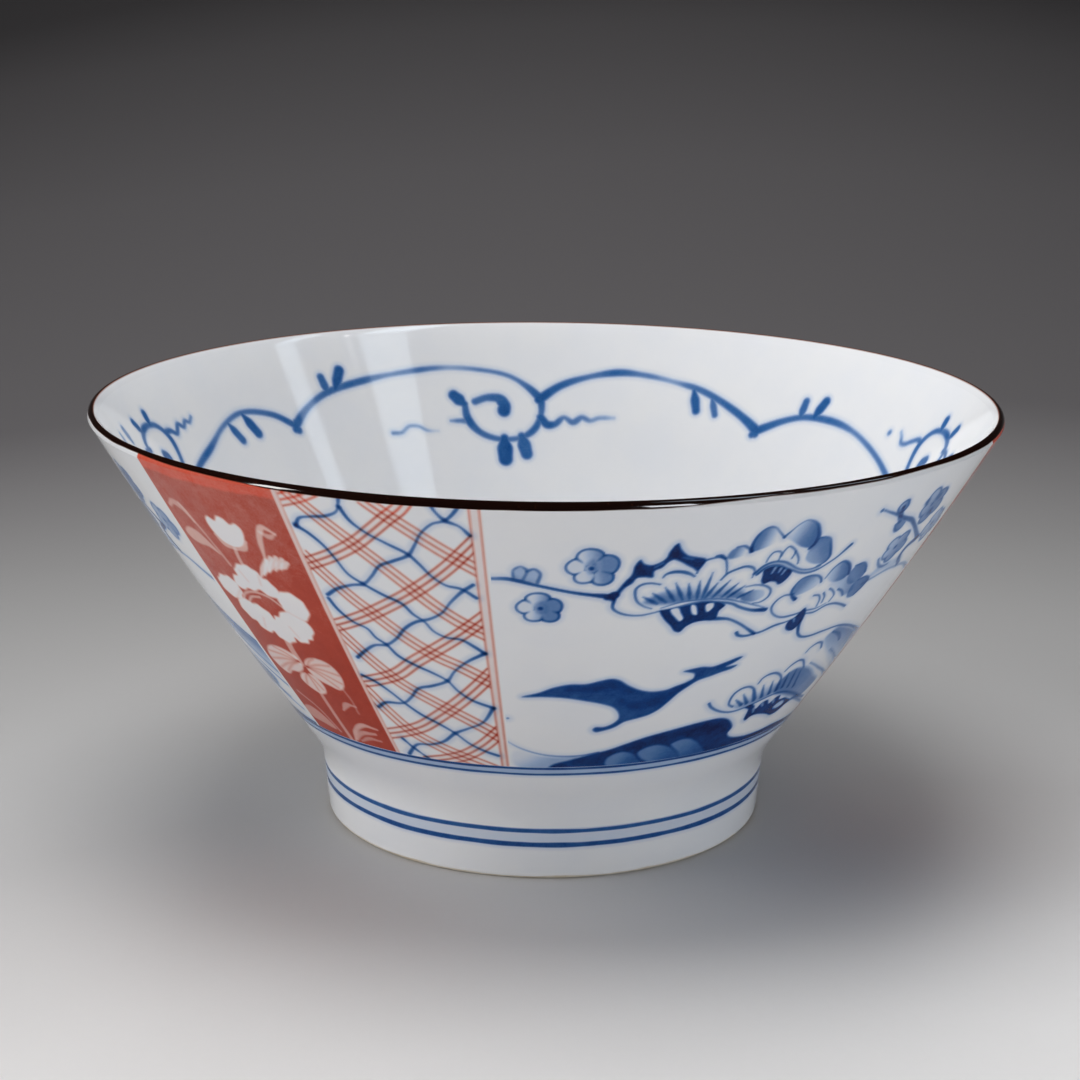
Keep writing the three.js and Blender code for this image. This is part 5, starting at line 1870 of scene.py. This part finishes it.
class BOWL_OT_floor(bpy.types.Operator):
    """Turns the bowl's floor with its well, neck and domed underside"""

    bl_idname = "bowl.floor"
    bl_label = "Floor and neck"

    def execute(self, context):
        shape = context.scene.bowl_shape
        profile = BowlProfile(shape)
        dome_top = FOOT_TOP + shape.dome
        seat = profile.foot_inner_top
        well_start = profile.well_share_at(WALL_SEAM)
        outer_end = profile.outer_share(WALL_SEAM)
        stretches = (
            (Sweep((0.0, dome_top), (seat[0] / 2.0, dome_top), seat), DOME_ROWS),
            (straight(seat, profile.foot_top), SEAT_ROWS),
            (profile.neck, NECK_ROWS),
            (profile.outer.between(profile.neck_share, outer_end), LOW_WALL_ROWS),
            (straight(profile.outer.at(outer_end), profile.well.at(well_start)), SEAM_ROWS),
            (profile.well.between(well_start, 1.0), LOW_WELL_ROWS),
            (straight(profile.floor_edge, (0.0, profile.floor_level)), FLAT_FLOOR_ROWS),
        )
        piece = turned("bowl_floor_and_neck", stretches, 0.0, FULL_TURN, PLAIN_COLUMNS)
        colours = context.scene.bowl_colours
        finish = lined_finish("plain_glaze", colours, NECK_LINES, NECK_LINES_FROM, NECK_ROUGHNESS)
        settle(piece, finish, "plain_glaze", "bowl_floor")
        return {"FINISHED"}


class BOWL_OT_foot(bpy.types.Operator):
    """Turns the foot ring"""

    bl_idname = "bowl.foot"
    bl_label = "Foot ring"

    def execute(self, context):
        profile = BowlProfile(context.scene.bowl_shape)
        top, low = profile.foot_inner_top, profile.foot_inner_low
        edge = (FOOT_RADIUS, BARE_EDGE_TOP)
        stretches = (
            (straight(edge, profile.foot_top), FOOT_OUTSIDE_ROWS),
            (straight(profile.foot_top, top), SEAT_ROWS),
            (Sweep(top, (low[0], top[1]), low), FOOT_INSIDE_ROWS),
            (straight(low, edge), SEAM_ROWS),
        )
        piece = turned("foot_ring_glazed", stretches, 0.0, FULL_TURN, PLAIN_COLUMNS)
        colours = context.scene.bowl_colours
        finish = lined_finish("foot_glaze", colours, FOOT_LINES, FOOT_LINES_FROM, FOOT_ROUGHNESS)
        settle(piece, finish, "foot_glaze", "foot_ring")
        return {"FINISHED"}


class BOWL_OT_lip(bpy.types.Operator):
    """Turns the rounded lip under its brown glaze"""

    bl_idname = "bowl.lip"
    bl_label = "Brown lip"

    def execute(self, context):
        profile = BowlProfile(context.scene.bowl_shape)
        outer, inner = profile.lip_outer, profile.lip_inner
        crest = ((outer[0] + inner[0]) / 2.0, RIM_LEVEL)
        lean = profile.inner.end - profile.inner.pull
        inner_pull = inner[0] + (RIM_LEVEL - inner[1]) * lean[0] / lean[1]
        stretches = (
            (Sweep(outer, (outer[0], RIM_LEVEL), crest, ELLIPTIC), LIP_ROUND_ROWS),
            (Sweep(crest, (inner_pull, RIM_LEVEL), inner, ELLIPTIC), LIP_ROUND_ROWS),
            (straight(inner, outer), SEAM_ROWS),
        )
        piece = turned("brown_lip", stretches, 0.0, FULL_TURN, RIM_COLUMNS)
        painter = WallPainter(profile)
        painter.store(piece.data, painter.below_lip(piece.data))
        settle(piece, lip_finish(context.scene.bowl_colours, profile), "iron_edging", "rim_edging")
        return {"FINISHED"}


class BOWL_OT_standing_edge(bpy.types.Operator):
    """Turns the bare clay edge that the bowl stands on"""

    bl_idname = "bowl.standing_edge"
    bl_label = "Standing edge"

    def execute(self, context):
        shape = context.scene.bowl_shape
        profile = BowlProfile(shape)
        inner_radius = profile.foot_inner_low[0]
        outer_top = (FOOT_RADIUS, BARE_EDGE_TOP)
        inner_top = (inner_radius, BARE_EDGE_TOP)
        outer_low = (FOOT_RADIUS - shape.edge_rounding, STANDING_LEVEL)
        inner_low = (inner_radius + shape.edge_rounding, STANDING_LEVEL)
        stretches = (
            (Sweep(outer_low, (FOOT_RADIUS, STANDING_LEVEL), outer_top, ELLIPTIC), EDGE_ROUND_ROWS),
            (straight(outer_top, inner_top), SEAM_ROWS),
            (Sweep(inner_top, (inner_radius, STANDING_LEVEL), inner_low, ELLIPTIC), EDGE_ROUND_ROWS),
            (straight(inner_low, outer_low), EDGE_FLAT_ROWS),
        )
        piece = turned("standing_edge_bare", stretches, 0.0, FULL_TURN, PLAIN_COLUMNS)
        settle(piece, bare_clay_finish(context.scene.bowl_colours), "bare_clay", "standing_edge")
        return {"FINISHED"}


class BOWL_PT_sidebar(bpy.types.Panel):
    """Lists the bowl's sizes, colours and pieces"""

    bl_idname = "BOWL_PT_sidebar"
    bl_label = "Noodle bowl"
    bl_space_type = "VIEW_3D"
    bl_region_type = "UI"
    bl_category = "Bowl"

    def draw(self, context):
        layout = self.layout
        for group in (context.scene.bowl_shape, context.scene.bowl_colours, context.scene.bowl_stage):
            box = layout.box()
            for name in group.__annotations__:
                box.prop(group, name)
        for operator in OPERATORS:
            layout.operator(operator.bl_idname)


OPERATORS = (
    BOWL_OT_stage, BOWL_OT_painted_wall, BOWL_OT_floor, BOWL_OT_foot, BOWL_OT_lip, BOWL_OT_standing_edge,
)
GROUPS = (("bowl_shape", BowlShape), ("bowl_colours", BowlColours), ("bowl_stage", BowlStage))


def register():
    for name, group in GROUPS:
        bpy.utils.register_class(group)
        setattr(bpy.types.Scene, name, PointerProperty(type=group))
    for operator in OPERATORS:
        bpy.utils.register_class(operator)
    bpy.utils.register_class(BOWL_PT_sidebar)


def unregister():
    bpy.utils.unregister_class(BOWL_PT_sidebar)
    for operator in reversed(OPERATORS):
        bpy.utils.unregister_class(operator)
    for name, group in reversed(GROUPS):
        delattr(bpy.types.Scene, name)
        bpy.utils.unregister_class(group)


def main():
    """Builds the bowl on its stage."""
    register()
    bpy.ops.bowl.stage()
    bpy.ops.bowl.painted_wall()
    bpy.ops.bowl.floor()
    bpy.ops.bowl.foot()
    bpy.ops.bowl.lip()
    bpy.ops.bowl.standing_edge()


if __name__ == "__main__":
    main()
